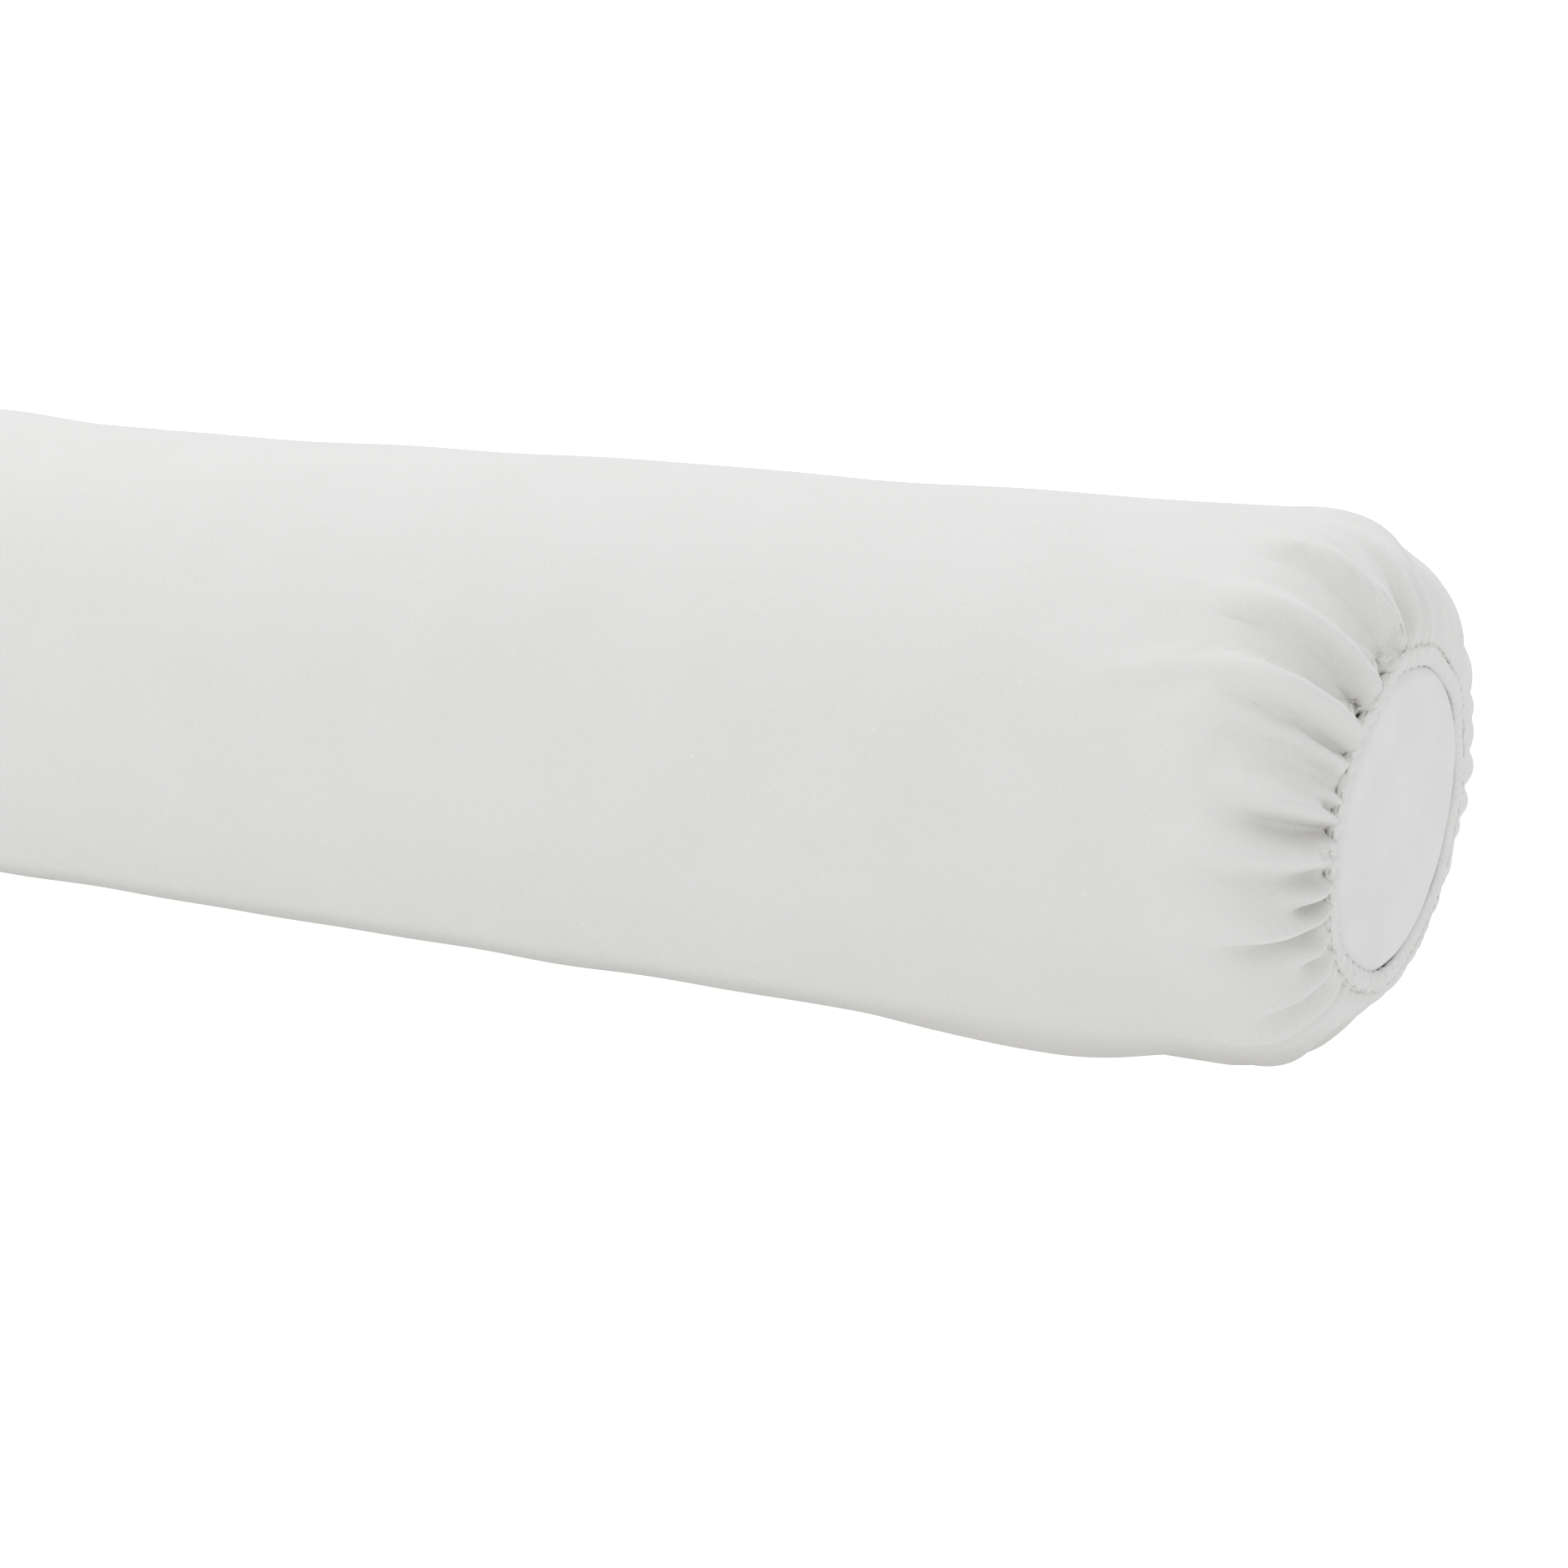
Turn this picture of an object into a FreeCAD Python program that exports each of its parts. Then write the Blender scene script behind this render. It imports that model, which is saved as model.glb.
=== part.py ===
"""Massage bolster: a round foam roll in a zipped artificial-leather skin, dressed in a loose cloth cover.

Row frame, in millimetres: +X along the roll, +Z up, origin on the table under the middle of the roll.
The roll settles on a narrow flat of its own. The cover is tight over the top of the roll, and its slack
cloth drops straight to the table on both sides, so there is room for the zip in front of the roll and for
the cover's seam behind it. Each end of the cover is gathered by an elastic into a round opening.

Inside lengths in the zip's own frame: X along the zip, Y up round the roll, Z out of the roll, with Z = 0
on the skin's outer surface.
"""

import FreeCAD, Part

import math
import os

import Sketcher
from FreeCAD import Placement, Rotation, Vector

# Alias, value in millimetres or degrees, and what it measures.
DIMENSIONS = [
    ("cover_half_length", 330, "middle of the cover to its end"),
    ("cover_radius", 75, "outside of the cover over the top of the roll"),
    ("axis_height", 69, "roll axis above the table"),
    ("cloth", 1.2, "cover cloth, brushed both sides"),
    ("skirt_angle", 30, "where the slack leaves the roll, below the horizontal"),
    ("skirt_corner", 8, "turn of the slack cloth onto the table"),
    ("taper_reach", 86, "radius of the end taper where it starts"),
    ("taper_start", 240, "start of the end taper from the middle"),
    ("taper_end_radius", 69, "radius of the end taper at the end of the cover"),
    ("cover_shoulder", 36, "rounding of the cover's end"),
    ("opening_radius", 40, "opening in each end of the cover"),
    ("casing_width", 8, "hem casing, from its inner edge to its outer edge"),
    ("casing_thickness", 4.4, "hem casing along the roll"),
    ("casing_wall", 0.9, "doubled cloth of the hem casing"),
    ("elastic_width", 5.4, "flat elastic in the hem casing"),
    ("elastic_thickness", 1.2, "flat elastic in the hem casing"),
    ("skin_radius", 73, "outside of the roll's skin"),
    ("skin_half_length", 325, "middle of the roll to the face of its end"),
    ("skin_shoulder", 32, "rounding of the roll's ends"),
    ("skin_sheet", 1, "artificial leather"),
    ("skin_seam", 315.6, "seam between the tube and the end panels, from the middle"),
    ("flat_gap", 0.3, "air between the skin's flat and the cover"),
    ("layer_gap", 0.1, "air between the layers of the roll"),
    ("wadding_loft", 6, "polyester wadding round the foam"),
    ("zip_angle", 48, "zip below the horizontal, in front of the roll"),
    ("zip_half_length", 240, "middle of the zip to its stops"),
    ("zip_slot_half", 5.6, "half the width of the opening in the skin"),
    ("tape_inner", 1.2, "inner edge of a zip tape from the zip's centre line"),
    ("tape_outer", 13, "outer edge of a zip tape from the zip's centre line"),
    ("tape_top", 2.3, "top of the zip tapes below the skin's surface"),
    ("tape_thickness", 0.5, "zip tape"),
    ("channel_half", 14.5, "half the width of the channel pressed in the wadding"),
    ("channel_depth", 4.3, "bottom of that channel below the skin's surface"),
    ("tooth_pitch", 3, "spacing of the teeth on one tape"),
    ("tooth_length", 1.3, "tooth along the zip"),
    ("tooth_height", 1.4, "tooth above the tape"),
    ("tooth_outer", 3, "outer end of a tooth from the zip's centre line"),
    ("tooth_reach", 0.9, "how far a tooth passes the zip's centre line"),
    ("tooth_seat", 0.02, "air between a tooth and its tape"),
    ("stop_length", 2.5, "zip stop along the zip"),
    ("stop_gap", 0.4, "air between a stop and what it stops"),
    ("slider_half_length", 6.5, "zip slider along the zip"),
    ("slider_half_width", 4.8, "zip slider across the zip"),
    ("slider_top", 0.45, "top of the slider's plate above the skin's surface"),
    ("slider_roof", 0.7, "underside of the slider's top plate below the skin's surface"),
    ("slider_floor", 3, "top of the slider's lower plate below the skin's surface"),
    ("slider_base", 3.8, "bottom of the slider below the skin's surface"),
    ("slider_wall", 1.3, "side walls of the slider"),
    ("wall_reach", 2.1, "bottom of the side walls below the skin's surface"),
    ("divider_half_width", 1, "wedge that parts the teeth"),
    ("divider_start", 1.5, "near end of the wedge from the slider's middle"),
    ("divider_end", 5, "far end of the wedge from the slider's middle"),
    ("bridge_half_length", 3.5, "arch that holds the pull tab"),
    ("bridge_half_width", 1.1, "arch that holds the pull tab"),
    ("bridge_thickness", 0.9, "arch that holds the pull tab"),
    ("bridge_room", 1.7, "height of the gap under the arch"),
    ("slider_rest", 236, "slider's middle when the zip is closed"),
    ("pivot_height", 1.3, "pull tab's hinge above the skin's surface"),
    ("pull_length", 20, "hinge to the tip of the pull tab"),
    ("pull_half_width", 2.8, "pull tab"),
    ("pull_thickness", 0.9, "pull tab"),
    ("pull_bar", 0.5, "radius of the cross bar that turns under the arch"),
    ("pull_window_end", 5.5, "far end of the pull tab's window from the hinge"),
    ("pull_window_half", 1.5, "half the width of the pull tab's window"),
    ("thread", 0.5, "sewing thread"),
    ("stitch", 3.2, "length of a stitch"),
    ("stitch_pitch", 4.8, "spacing of stitches"),
    ("stitch_margin", 2.5, "zip stitching from the edge of the skin's slot"),
    ("end_stitch_turn", 52, "end seam stitching, turned round the shoulder from the tube"),
    ("seam_top", 20, "upper edge of the seam allowance below the start of the skirt"),
    ("seam_width", 9, "overlocked seam allowance"),
    ("seam_thickness", 1.6, "overlocked seam allowance, two cloths and thread"),
    ("seam_half_length", 262, "middle of the cover's long seam to its end"),
    ("label_length", 30, "care label along the seam"),
    ("label_drop", 15, "care label down from the seam"),
    ("label_thickness", 0.35, "satin care label"),
    ("label_place", 200, "care label from the middle, towards -X"),
]
ORIGIN_POINT = (-1, 1)
HORIZONTAL_AXIS, VERTICAL_AXIS = -1, -2
NOTHING = 1e-9
NEAR = 0.01
SOFT_CORNER = 0.8
TAPE_LENGTH = "2 * (Dims.zip_half_length + Dims.slider_half_length)"
WIDE = "3 * Dims.skin_radius"

doc = FreeCAD.newDocument("bolster")
sheet = doc.addObject("Spreadsheet::Sheet", "Dims")
for row, (alias, value, meaning) in enumerate(DIMENSIONS, start=1):
    sheet.set(f"A{row}", meaning)
    sheet.set(f"B{row}", str(value))
    sheet.setAlias(f"B{row}", alias)
doc.recompute()
finished = []


def size(expression):
    """The value of an expression on the sheet, such as 'Dims.cloth * 2'."""
    return float(sheet.evalExpression(str(expression)))


def finish_part(shape_object, label):
    """Names a sub-part and puts it on the list that is written out."""
    shape_object.Label = label
    finished.append(shape_object)
    return shape_object


# ---------------------------------------------------------------- sketches and bodies


def new_body(name):
    return doc.addObject("PartDesign::Body", name)


def new_sketch(body, plane):
    """An empty sketch on one of the body's own origin planes, such as YZ_Plane."""
    sketch = body.newObject("Sketcher::SketchObject", body.Name + "_sketch")
    plane_object = next(f for f in body.Origin.OriginFeatures if f.Role == plane)
    sketch.AttachmentSupport = [(plane_object, "")]
    sketch.MapMode = "FlatFace"
    return sketch


def bind(sketch, kind, expression, *where):
    """Adds a driving constraint whose value follows the sheet."""
    number = sketch.addConstraint(Sketcher.Constraint(kind, *where, size(expression)))
    sketch.setExpression(f"Constraints[{number}]", str(expression))


def place_point(sketch, geometry, point, x, y):
    """Fixes a point of the sketch at x, y, which are expressions on the sheet."""
    for kind, axis, value in (("DistanceX", VERTICAL_AXIS, x), ("DistanceY", HORIZONTAL_AXIS, y)):
        if abs(size(value)) < NOTHING:
            sketch.addConstraint(Sketcher.Constraint("PointOnObject", geometry, point, axis))
        else:
            bind(sketch, kind, value, *ORIGIN_POINT, geometry, point)


def draw_polygon(sketch, corners):
    """A closed outline through corners given as pairs of expressions."""
    points = [Vector(size(x), size(y), 0) for x, y in corners]
    first = sketch.GeometryCount
    count = len(points)
    for i in range(count):
        sketch.addGeometry(Part.LineSegment(points[i], points[(i + 1) % count]))
    for i in range(count):
        after = first + (i + 1) % count
        sketch.addConstraint(Sketcher.Constraint("Coincident", first + i, 2, after, 1))
    for i, (x, y) in enumerate(corners):
        place_point(sketch, first + i, 1, x, y)


def draw_box(sketch, x_low, x_high, y_low, y_high):
    draw_polygon(sketch, [(x_low, y_low), (x_high, y_low), (x_high, y_high), (x_low, y_high)])


def draw_circle(sketch, x, y, radius):
    circle = Part.Circle(Vector(size(x), size(y), 0), Vector(0, 0, 1), size(radius))
    number = sketch.addGeometry(circle)
    place_point(sketch, number, 3, x, y)
    bind(sketch, "Radius", radius, number)


def pad(body, sketch, length):
    """Extrudes the sketch to both sides of its plane."""
    feature = body.newObject("PartDesign::Pad", body.Name + "_pad")
    feature.Profile = sketch
    feature.SideType = "Symmetric"
    feature.setExpression("Length", length)
    doc.recompute()
    return feature


def pocket(body, sketch, length):
    """Cuts the sketch out to both sides of its plane, and checks that it cut something."""
    before = body.Shape.Volume
    feature = body.newObject("PartDesign::Pocket", body.Name + "_pocket")
    feature.Profile = sketch
    feature.SideType = "Symmetric"
    feature.setExpression("Length", length)
    doc.recompute()
    if body.Shape.Volume > before - NOTHING:
        raise RuntimeError(f"the pocket in {body.Name} cut nothing")
    return feature


def turn(body, sketch, kind="PartDesign::Revolution"):
    """Turns the sketch a full circle about the roll's direction."""
    feature = body.newObject(kind, body.Name + "_turn")
    feature.Profile = sketch
    feature.ReferenceAxis = (sketch, ["H_Axis"])
    feature.Angle = 360
    doc.recompute()
    return feature


def round_edges(body, feature, radius, chosen):
    """Fillets the feature's edges for which chosen(edge) holds."""
    names = [f"Edge{i}" for i, e in enumerate(feature.Shape.Edges, start=1) if chosen(e)]
    fillet = body.newObject("PartDesign::Fillet", body.Name + "_fillet")
    fillet.Base = (feature, names)
    fillet.setExpression("Radius", radius)
    doc.recompute()
    return fillet


def is_circle(edge):
    return edge.Curve.TypeId == "Part::GeomCircle"


def block(name, x_size, y_size, z_size, centre=(0, 0, 0)):
    """A Part::Box with sizes and centre given as expressions."""
    box = doc.addObject("Part::Box", name)
    for side, axis, length, middle in zip(
        ("Length", "Width", "Height"), "xyz", (x_size, y_size, z_size), centre
    ):
        box.setExpression(side, str(length))
        box.setExpression(f"Placement.Base.{axis}", f"{middle} - ({length}) / 2")
    return box


def combine(kind, name, base, tool):
    """A Part::Cut, Part::Common or Part::Fuse of two objects."""
    result = doc.addObject(kind, name)
    result.Base, result.Tool = base, tool
    doc.recompute()
    return result


def shape_part(label, shape, placement=Placement()):
    """A sub-part whose shape is made of many equal pieces."""
    feature = doc.addObject("Part::Feature", label)
    feature.Shape = shape
    feature.Placement = placement
    return finish_part(feature, label)


# ---------------------------------------------------------------- local frames


def round_the_roll(angle_below, side):
    """The frame at an angle below the horizontal: its Z points out of the roll, its Y up, its X along the
    roll. Side is +1 behind the roll, where X runs to the left, and -1 in front of it, where X runs to the
    right. Its origin is on the roll's axis."""
    tilt = math.radians(angle_below)
    out = Vector(0, side * math.cos(tilt), -math.sin(tilt))
    up = Vector(0, side * math.sin(tilt), math.cos(tilt))
    along = up.cross(out)
    turned = Rotation(along, up, out, "ZXY")
    return Placement(Vector(0, 0, size("Dims.axis_height")), turned)


def zip_frame(along=0.0):
    """The zip's frame, moved along the roll."""
    frame = round_the_roll(size("Dims.zip_angle"), side=-1)
    return frame.multiply(Placement(Vector(along, 0, size("Dims.skin_radius")), Rotation()))


# ---------------------------------------------------------------- repeated pieces


def stitch_row(start, end, y, z):
    """Stitches of round thread in a straight row along X, as separate solids."""
    length, radius = size("Dims.stitch"), size("Dims.thread") / 2
    count = int((end - start) / size("Dims.stitch_pitch"))
    return [
        Part.makeCylinder(
            radius, length, Vector(start + i * size("Dims.stitch_pitch"), y, z), Vector(1, 0, 0)
        )
        for i in range(count)
    ]


def stitch_ring(x, radius):
    """Stitches in a ring about the X axis."""
    length = size("Dims.stitch")
    count = int(2 * math.pi * radius / size("Dims.stitch_pitch"))
    first = Part.makeCylinder(
        size("Dims.thread") / 2, length, Vector(x, radius, -length / 2), Vector(0, 0, 1)
    )
    pieces = []
    for i in range(count):
        piece = first.copy()
        piece.rotate(Vector(0, 0, 0), Vector(1, 0, 0), 360 * i / count)
        pieces.append(piece)
    return pieces


def tooth_row(side, first, last):
    """Teeth along one tape. Each reaches over the centre line into the gaps of the other tape's row."""
    length, height = size("Dims.tooth_length"), size("Dims.tooth_height")
    outer, reach = size("Dims.tooth_outer"), size("Dims.tooth_reach")
    base = size("Dims.tooth_seat - Dims.tape_top")
    low_y = -reach if side > 0 else -outer
    pitch = size("Dims.tooth_pitch")
    start = first if side > 0 else first + pitch / 2
    count = int((last - start - length) / pitch) + 1
    return [
        Part.makeBox(length, outer + reach, height, Vector(start + i * pitch, low_y, base))
        for i in range(count)
    ]


# ---------------------------------------------------------------- the roll


def round_bar(name, depth):
    """The roll's outline, depth below its skin: a bar with rounded ends and a flat underneath."""
    body = new_body(name)
    outline = new_sketch(body, "YZ_Plane")
    draw_circle(outline, "0", "Dims.axis_height", f"Dims.skin_radius - {depth}")
    bar = pad(body, outline, f"2 * (Dims.skin_half_length - {depth})")
    round_edges(body, bar, f"Dims.skin_shoulder - {depth}", is_circle)
    below = new_sketch(body, "YZ_Plane")
    floor = f"Dims.cloth + Dims.flat_gap + {depth}"
    draw_box(below, "-Dims.skin_radius", "Dims.skin_radius", "-Dims.skin_radius", floor)
    pocket(body, below, "3 * Dims.skin_half_length")
    return body


def make_roll():
    """Foam core, wadding, and the skin cut into its tube and two end panels."""
    under_skin = "Dims.skin_sheet"
    wadding_top = "(Dims.skin_sheet + Dims.layer_gap)"
    wadding_base = "(Dims.skin_sheet + Dims.layer_gap + Dims.wadding_loft)"
    foam_top = "(Dims.skin_sheet + 2 * Dims.layer_gap + Dims.wadding_loft)"

    finish_part(round_bar("foam_bar", foam_top), "foam_core")

    outer = round_bar("wadding_bar", wadding_top)
    inner = round_bar("wadding_hollow", wadding_base)
    sleeve = combine("Part::Cut", "wadding_sleeve", outer, inner)
    channel = block(
        "wadding_channel",
        "2 * (Dims.zip_half_length + 2 * Dims.slider_half_length)",
        "2 * Dims.channel_half",
        "2 * Dims.channel_depth",
    )
    seat_in_zip_frame(channel)
    finish_part(combine("Part::Cut", "wadding", sleeve, channel), "wadding_wrap")

    outer = round_bar("skin_bar", "0")
    inner = round_bar("skin_hollow", under_skin)
    shell = combine("Part::Cut", "skin_shell", outer, inner)
    tube_span = block(
        "tube_span",
        "2 * Dims.skin_seam - Dims.layer_gap",
        WIDE,
        WIDE,
        ("0", "0", "Dims.axis_height"),
    )
    tube = combine("Part::Common", "skin_tube", shell, tube_span)
    slot = block(
        "zip_slot",
        TAPE_LENGTH,
        "2 * Dims.zip_slot_half",
        "2 * Dims.channel_depth",
    )
    seat_in_zip_frame(slot)
    finish_part(combine("Part::Cut", "skin_open_tube", tube, slot), "skin_tube_panel")
    for side, name in ((1, "right"), (-1, "left")):
        finish_part(end_panel(side, name, shell), f"skin_end_panel_{name}")


def seat_in_zip_frame(box):
    """Moves a block that was made about the origin to the zip's frame."""
    doc.recompute()
    for axis in "xyz":
        box.setExpression(f"Placement.Base.{axis}", None)
    half = Vector(box.Length.Value, box.Width.Value, box.Height.Value) * -0.5
    box.Placement = zip_frame().multiply(Placement(half, Rotation()))


def end_panel(side, name, shell):
    """One end of the skin, from the seam inwards."""
    reach = "Dims.skin_shoulder"
    span = block(
        f"end_span_{name}",
        reach,
        WIDE,
        WIDE,
        (
            f"{side} * (Dims.skin_seam + Dims.layer_gap / 2 + {reach} / 2)",
            "0",
            "Dims.axis_height",
        ),
    )
    return combine("Part::Common", f"end_piece_{name}", shell, span)


def shoulder_point(angle):
    """A point on the skin's shoulder in the half plane of X and the roll's radius, with its outward normal.
    The angle runs from 0 at the tube to 90 degrees at the end face."""
    shoulder = size("Dims.skin_shoulder")
    centre_x = size("Dims.skin_half_length") - shoulder
    centre_r = size("Dims.skin_radius") - shoulder
    normal = Vector(math.sin(math.radians(angle)), math.cos(math.radians(angle)), 0)
    return Vector(centre_x, centre_r, 0) + normal * shoulder, normal


def make_end_stitching():
    """A ring of stitches on each end panel, just inside the seam with the tube."""
    point, normal = shoulder_point(size("Dims.end_stitch_turn"))
    thread = point + normal * (size("Dims.thread") / 2 + size("Dims.layer_gap"))
    at_axis = Placement(Vector(0, 0, size("Dims.axis_height")), Rotation())
    for side, name in ((1, "right"), (-1, "left")):
        ring = stitch_ring(side * thread.x, thread.y)
        shape_part(f"end_seam_stitching_{name}", Part.makeCompound(ring), at_axis)


# ---------------------------------------------------------------- the zip


def make_zip():
    """Two tapes with their teeth, the stops, the slider and its pull tab."""
    half = size("Dims.zip_half_length")
    inner, outer = size("Dims.tape_inner"), size("Dims.tape_outer")
    top, thickness = size("Dims.tape_top"), size("Dims.tape_thickness")
    tape_half = half + size("Dims.slider_half_length")
    for side, name in ((1, "upper"), (-1, "lower")):
        tape = block(
            f"tape_{name}",
            TAPE_LENGTH,
            "Dims.tape_outer - Dims.tape_inner",
            "Dims.tape_thickness",
        )
        for axis in "xyz":
            tape.setExpression(f"Placement.Base.{axis}", None)
        corner = Vector(-tape_half, inner if side > 0 else -outer, -top - thickness)
        tape.Placement = zip_frame().multiply(Placement(corner, Rotation()))
        finish_part(tape, f"zip_tape_{name}")
        last = size("Dims.slider_rest") - size("Dims.divider_start") - size("Dims.tooth_length")
        teeth = tooth_row(side, -half, last)
        shape_part(f"zip_teeth_{name}", Part.makeCompound(teeth), zip_frame())
    make_stops()
    make_zip_stitching(half)
    make_slider()
    make_pull_tab()


def make_stops():
    """A pair of top stops, one on each tape, and one bottom stop across both."""
    length, height = size("Dims.stop_length"), size("Dims.tooth_height")
    low, high = size("Dims.tape_inner"), size("Dims.tooth_outer")
    base = size("Dims.tooth_seat - Dims.tape_top")
    clear = size("Dims.slider_rest + Dims.slider_half_length + Dims.stop_gap")
    pair = [
        Part.makeBox(length, high - low, height, Vector(clear, low, base)),
        Part.makeBox(length, high - low, height, Vector(clear, -high, base)),
    ]
    shape_part("zip_top_stops", Part.makeCompound(pair), zip_frame())
    start = size("-Dims.zip_half_length - Dims.stop_length - Dims.stop_gap")
    bottom = Part.makeBox(length, 2 * high, height, Vector(start, -high, base))
    shape_part("zip_bottom_stop", bottom, zip_frame())


def make_zip_stitching(half):
    """A row of stitches on the skin beside each edge of the zip's slot."""
    away = size("Dims.zip_slot_half + Dims.stitch_margin")
    radius = size("Dims.skin_radius")
    sunk = radius - math.sqrt(radius**2 - away**2)
    height = size("Dims.thread") / 2 + size("Dims.layer_gap") - sunk
    rows = stitch_row(-half, half, away, height) + stitch_row(-half, half, -away, height)
    shape_part("zip_stitching", Part.makeCompound(rows), zip_frame())


def make_slider():
    """Top and bottom plates joined by the wedge, side walls, and the arch for the pull tab."""
    body = new_body("slider_body")
    section = new_sketch(body, "YZ_Plane")
    half, wall = "Dims.slider_half_width", "Dims.slider_wall"
    draw_polygon(
        section,
        [
            (f"-{half}", "-Dims.wall_reach"),
            (f"-{half} + {wall}", "-Dims.wall_reach"),
            (f"-{half} + {wall}", "-Dims.slider_roof"),
            (f"{half} - {wall}", "-Dims.slider_roof"),
            (f"{half} - {wall}", "-Dims.wall_reach"),
            (half, "-Dims.wall_reach"),
            (half, "Dims.slider_top"),
            (f"-{half}", "Dims.slider_top"),
        ],
    )
    pad(body, section, "2 * Dims.slider_half_length")

    wedge = new_sketch(body, "XZ_Plane")
    draw_polygon(
        wedge,
        [
            ("-Dims.slider_half_length", "-Dims.slider_base"),
            ("Dims.slider_half_length", "-Dims.slider_base"),
            ("Dims.slider_half_length", "-Dims.slider_floor"),
            ("Dims.divider_end", "-Dims.slider_floor"),
            ("Dims.divider_end", "-Dims.slider_roof / 2"),
            ("Dims.divider_start", "-Dims.slider_roof / 2"),
            ("Dims.divider_start", "-Dims.slider_floor"),
            ("-Dims.slider_half_length", "-Dims.slider_floor"),
        ],
    )
    pad(body, wedge, "2 * Dims.divider_half_width")

    floor = new_sketch(body, "YZ_Plane")
    draw_box(floor, f"-{half}", half, "-Dims.slider_base", "-Dims.slider_floor")
    pad(body, floor, "2 * Dims.slider_half_length")

    arch = new_sketch(body, "XZ_Plane")
    out, inside = "Dims.bridge_half_length", "(Dims.bridge_half_length - Dims.bridge_thickness)"
    roof = "Dims.slider_top + Dims.bridge_room"
    draw_polygon(
        arch,
        [
            (f"-{out}", "0"),
            (f"-{inside}", "0"),
            (f"-{inside}", roof),
            (inside, roof),
            (inside, "0"),
            (out, "0"),
            (out, f"{roof} + Dims.bridge_thickness"),
            (f"-{out}", f"{roof} + Dims.bridge_thickness"),
        ],
    )
    last = pad(body, arch, "2 * Dims.bridge_half_width")
    top = size(f"{roof} + Dims.bridge_thickness")

    def arch_corner(edge):
        centre = edge.CenterOfMass
        across = abs(centre.y) < NOTHING and edge.Length > size("2 * Dims.bridge_half_width") - NEAR
        return across and abs(centre.z - top) < NEAR

    round_edges(body, last, f"{SOFT_CORNER} * Dims.bridge_thickness", arch_corner)
    body.Placement = zip_frame(size("Dims.slider_rest"))
    finish_part(body, "zip_slider")


def make_pull_tab():
    """A flat tab with a window. The round bar at the window's end turns under the slider's arch."""
    body = new_body("pull_body")
    plate = new_sketch(body, "XY_Plane")
    tip, half = "-Dims.pull_length", "Dims.pull_half_width"
    draw_box(plate, tip, "0", f"-{half}", half)
    tab = pad(body, plate, "Dims.pull_thickness")

    def tip_corner(edge):
        upright = abs(edge.tangentAt(edge.FirstParameter).z) > 0.99
        return upright and edge.CenterOfMass.x < size(f"{tip} / 2")

    round_edges(body, tab, f"{SOFT_CORNER} * Dims.pull_half_width", tip_corner)
    window = new_sketch(body, "XY_Plane")
    gap = "Dims.pull_window_half"
    draw_box(window, "-Dims.pull_window_end", "-Dims.pull_bar", f"-{gap}", gap)
    pocket(body, window, "3 * Dims.pull_thickness")
    bar = new_sketch(body, "XZ_Plane")
    draw_circle(bar, "0", "0", "Dims.pull_bar")
    pad(body, bar, f"2 * {half}")
    hinge = Placement(Vector(0, 0, size("Dims.pivot_height")), Rotation())
    body.Placement = zip_frame(size("Dims.slider_rest")).multiply(hinge)
    finish_part(body, "zip_pull_tab")


# ---------------------------------------------------------------- the cover


def cover_section(name, inset):
    """The cover's cross section, inset by the cloth or not, drawn out along the roll."""
    body = new_body(name)
    sketch = new_sketch(body, "YZ_Plane")
    radius = f"(Dims.cover_radius - {inset})"
    height = "Dims.axis_height"
    leave_y = f"{radius} * cos(Dims.skirt_angle)"
    leave_z = f"{height} - {radius} * sin(Dims.skirt_angle)"
    foot_y = f"({leave_y} - ({leave_z} - {inset}) * tan(Dims.skirt_angle))"
    centre = Vector(0, size(height), 0)
    below = math.radians(size("Dims.skirt_angle"))
    arc = Part.ArcOfCircle(Part.Circle(centre, Vector(0, 0, 1), size(radius)), -below, math.pi + below)
    top = sketch.addGeometry(arc)
    right = Vector(size(leave_y), size(leave_z), 0)
    left = Vector(-right.x, right.y, 0)
    right_foot = Vector(size(foot_y), size(inset), 0)
    left_foot = Vector(-right_foot.x, right_foot.y, 0)
    down = sketch.addGeometry(Part.LineSegment(left, left_foot))
    along = sketch.addGeometry(Part.LineSegment(left_foot, right_foot))
    up = sketch.addGeometry(Part.LineSegment(right_foot, right))
    for first, first_end, second, second_end in (
        (top, 2, down, 1),
        (down, 2, along, 1),
        (along, 2, up, 1),
        (up, 2, top, 1),
    ):
        sketch.addConstraint(
            Sketcher.Constraint("Coincident", first, first_end, second, second_end)
        )
    place_point(sketch, top, 3, "0", height)
    bind(sketch, "DistanceX", leave_y, *ORIGIN_POINT, top, 1)
    bind(sketch, "DistanceY", leave_z, *ORIGIN_POINT, top, 1)
    bind(sketch, "DistanceY", leave_z, *ORIGIN_POINT, top, 2)
    place_point(sketch, along, 1, f"-{foot_y}", inset)
    place_point(sketch, along, 2, foot_y, inset)
    bar = pad(body, sketch, "2.2 * Dims.cover_half_length")

    def foot_edge(edge):
        lengthwise = edge.Length > size("2 * Dims.cover_half_length")
        return lengthwise and edge.CenterOfMass.z < size(inset) + NEAR

    round_edges(body, bar, f"Dims.skirt_corner - {inset}", foot_edge)
    return body


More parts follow.
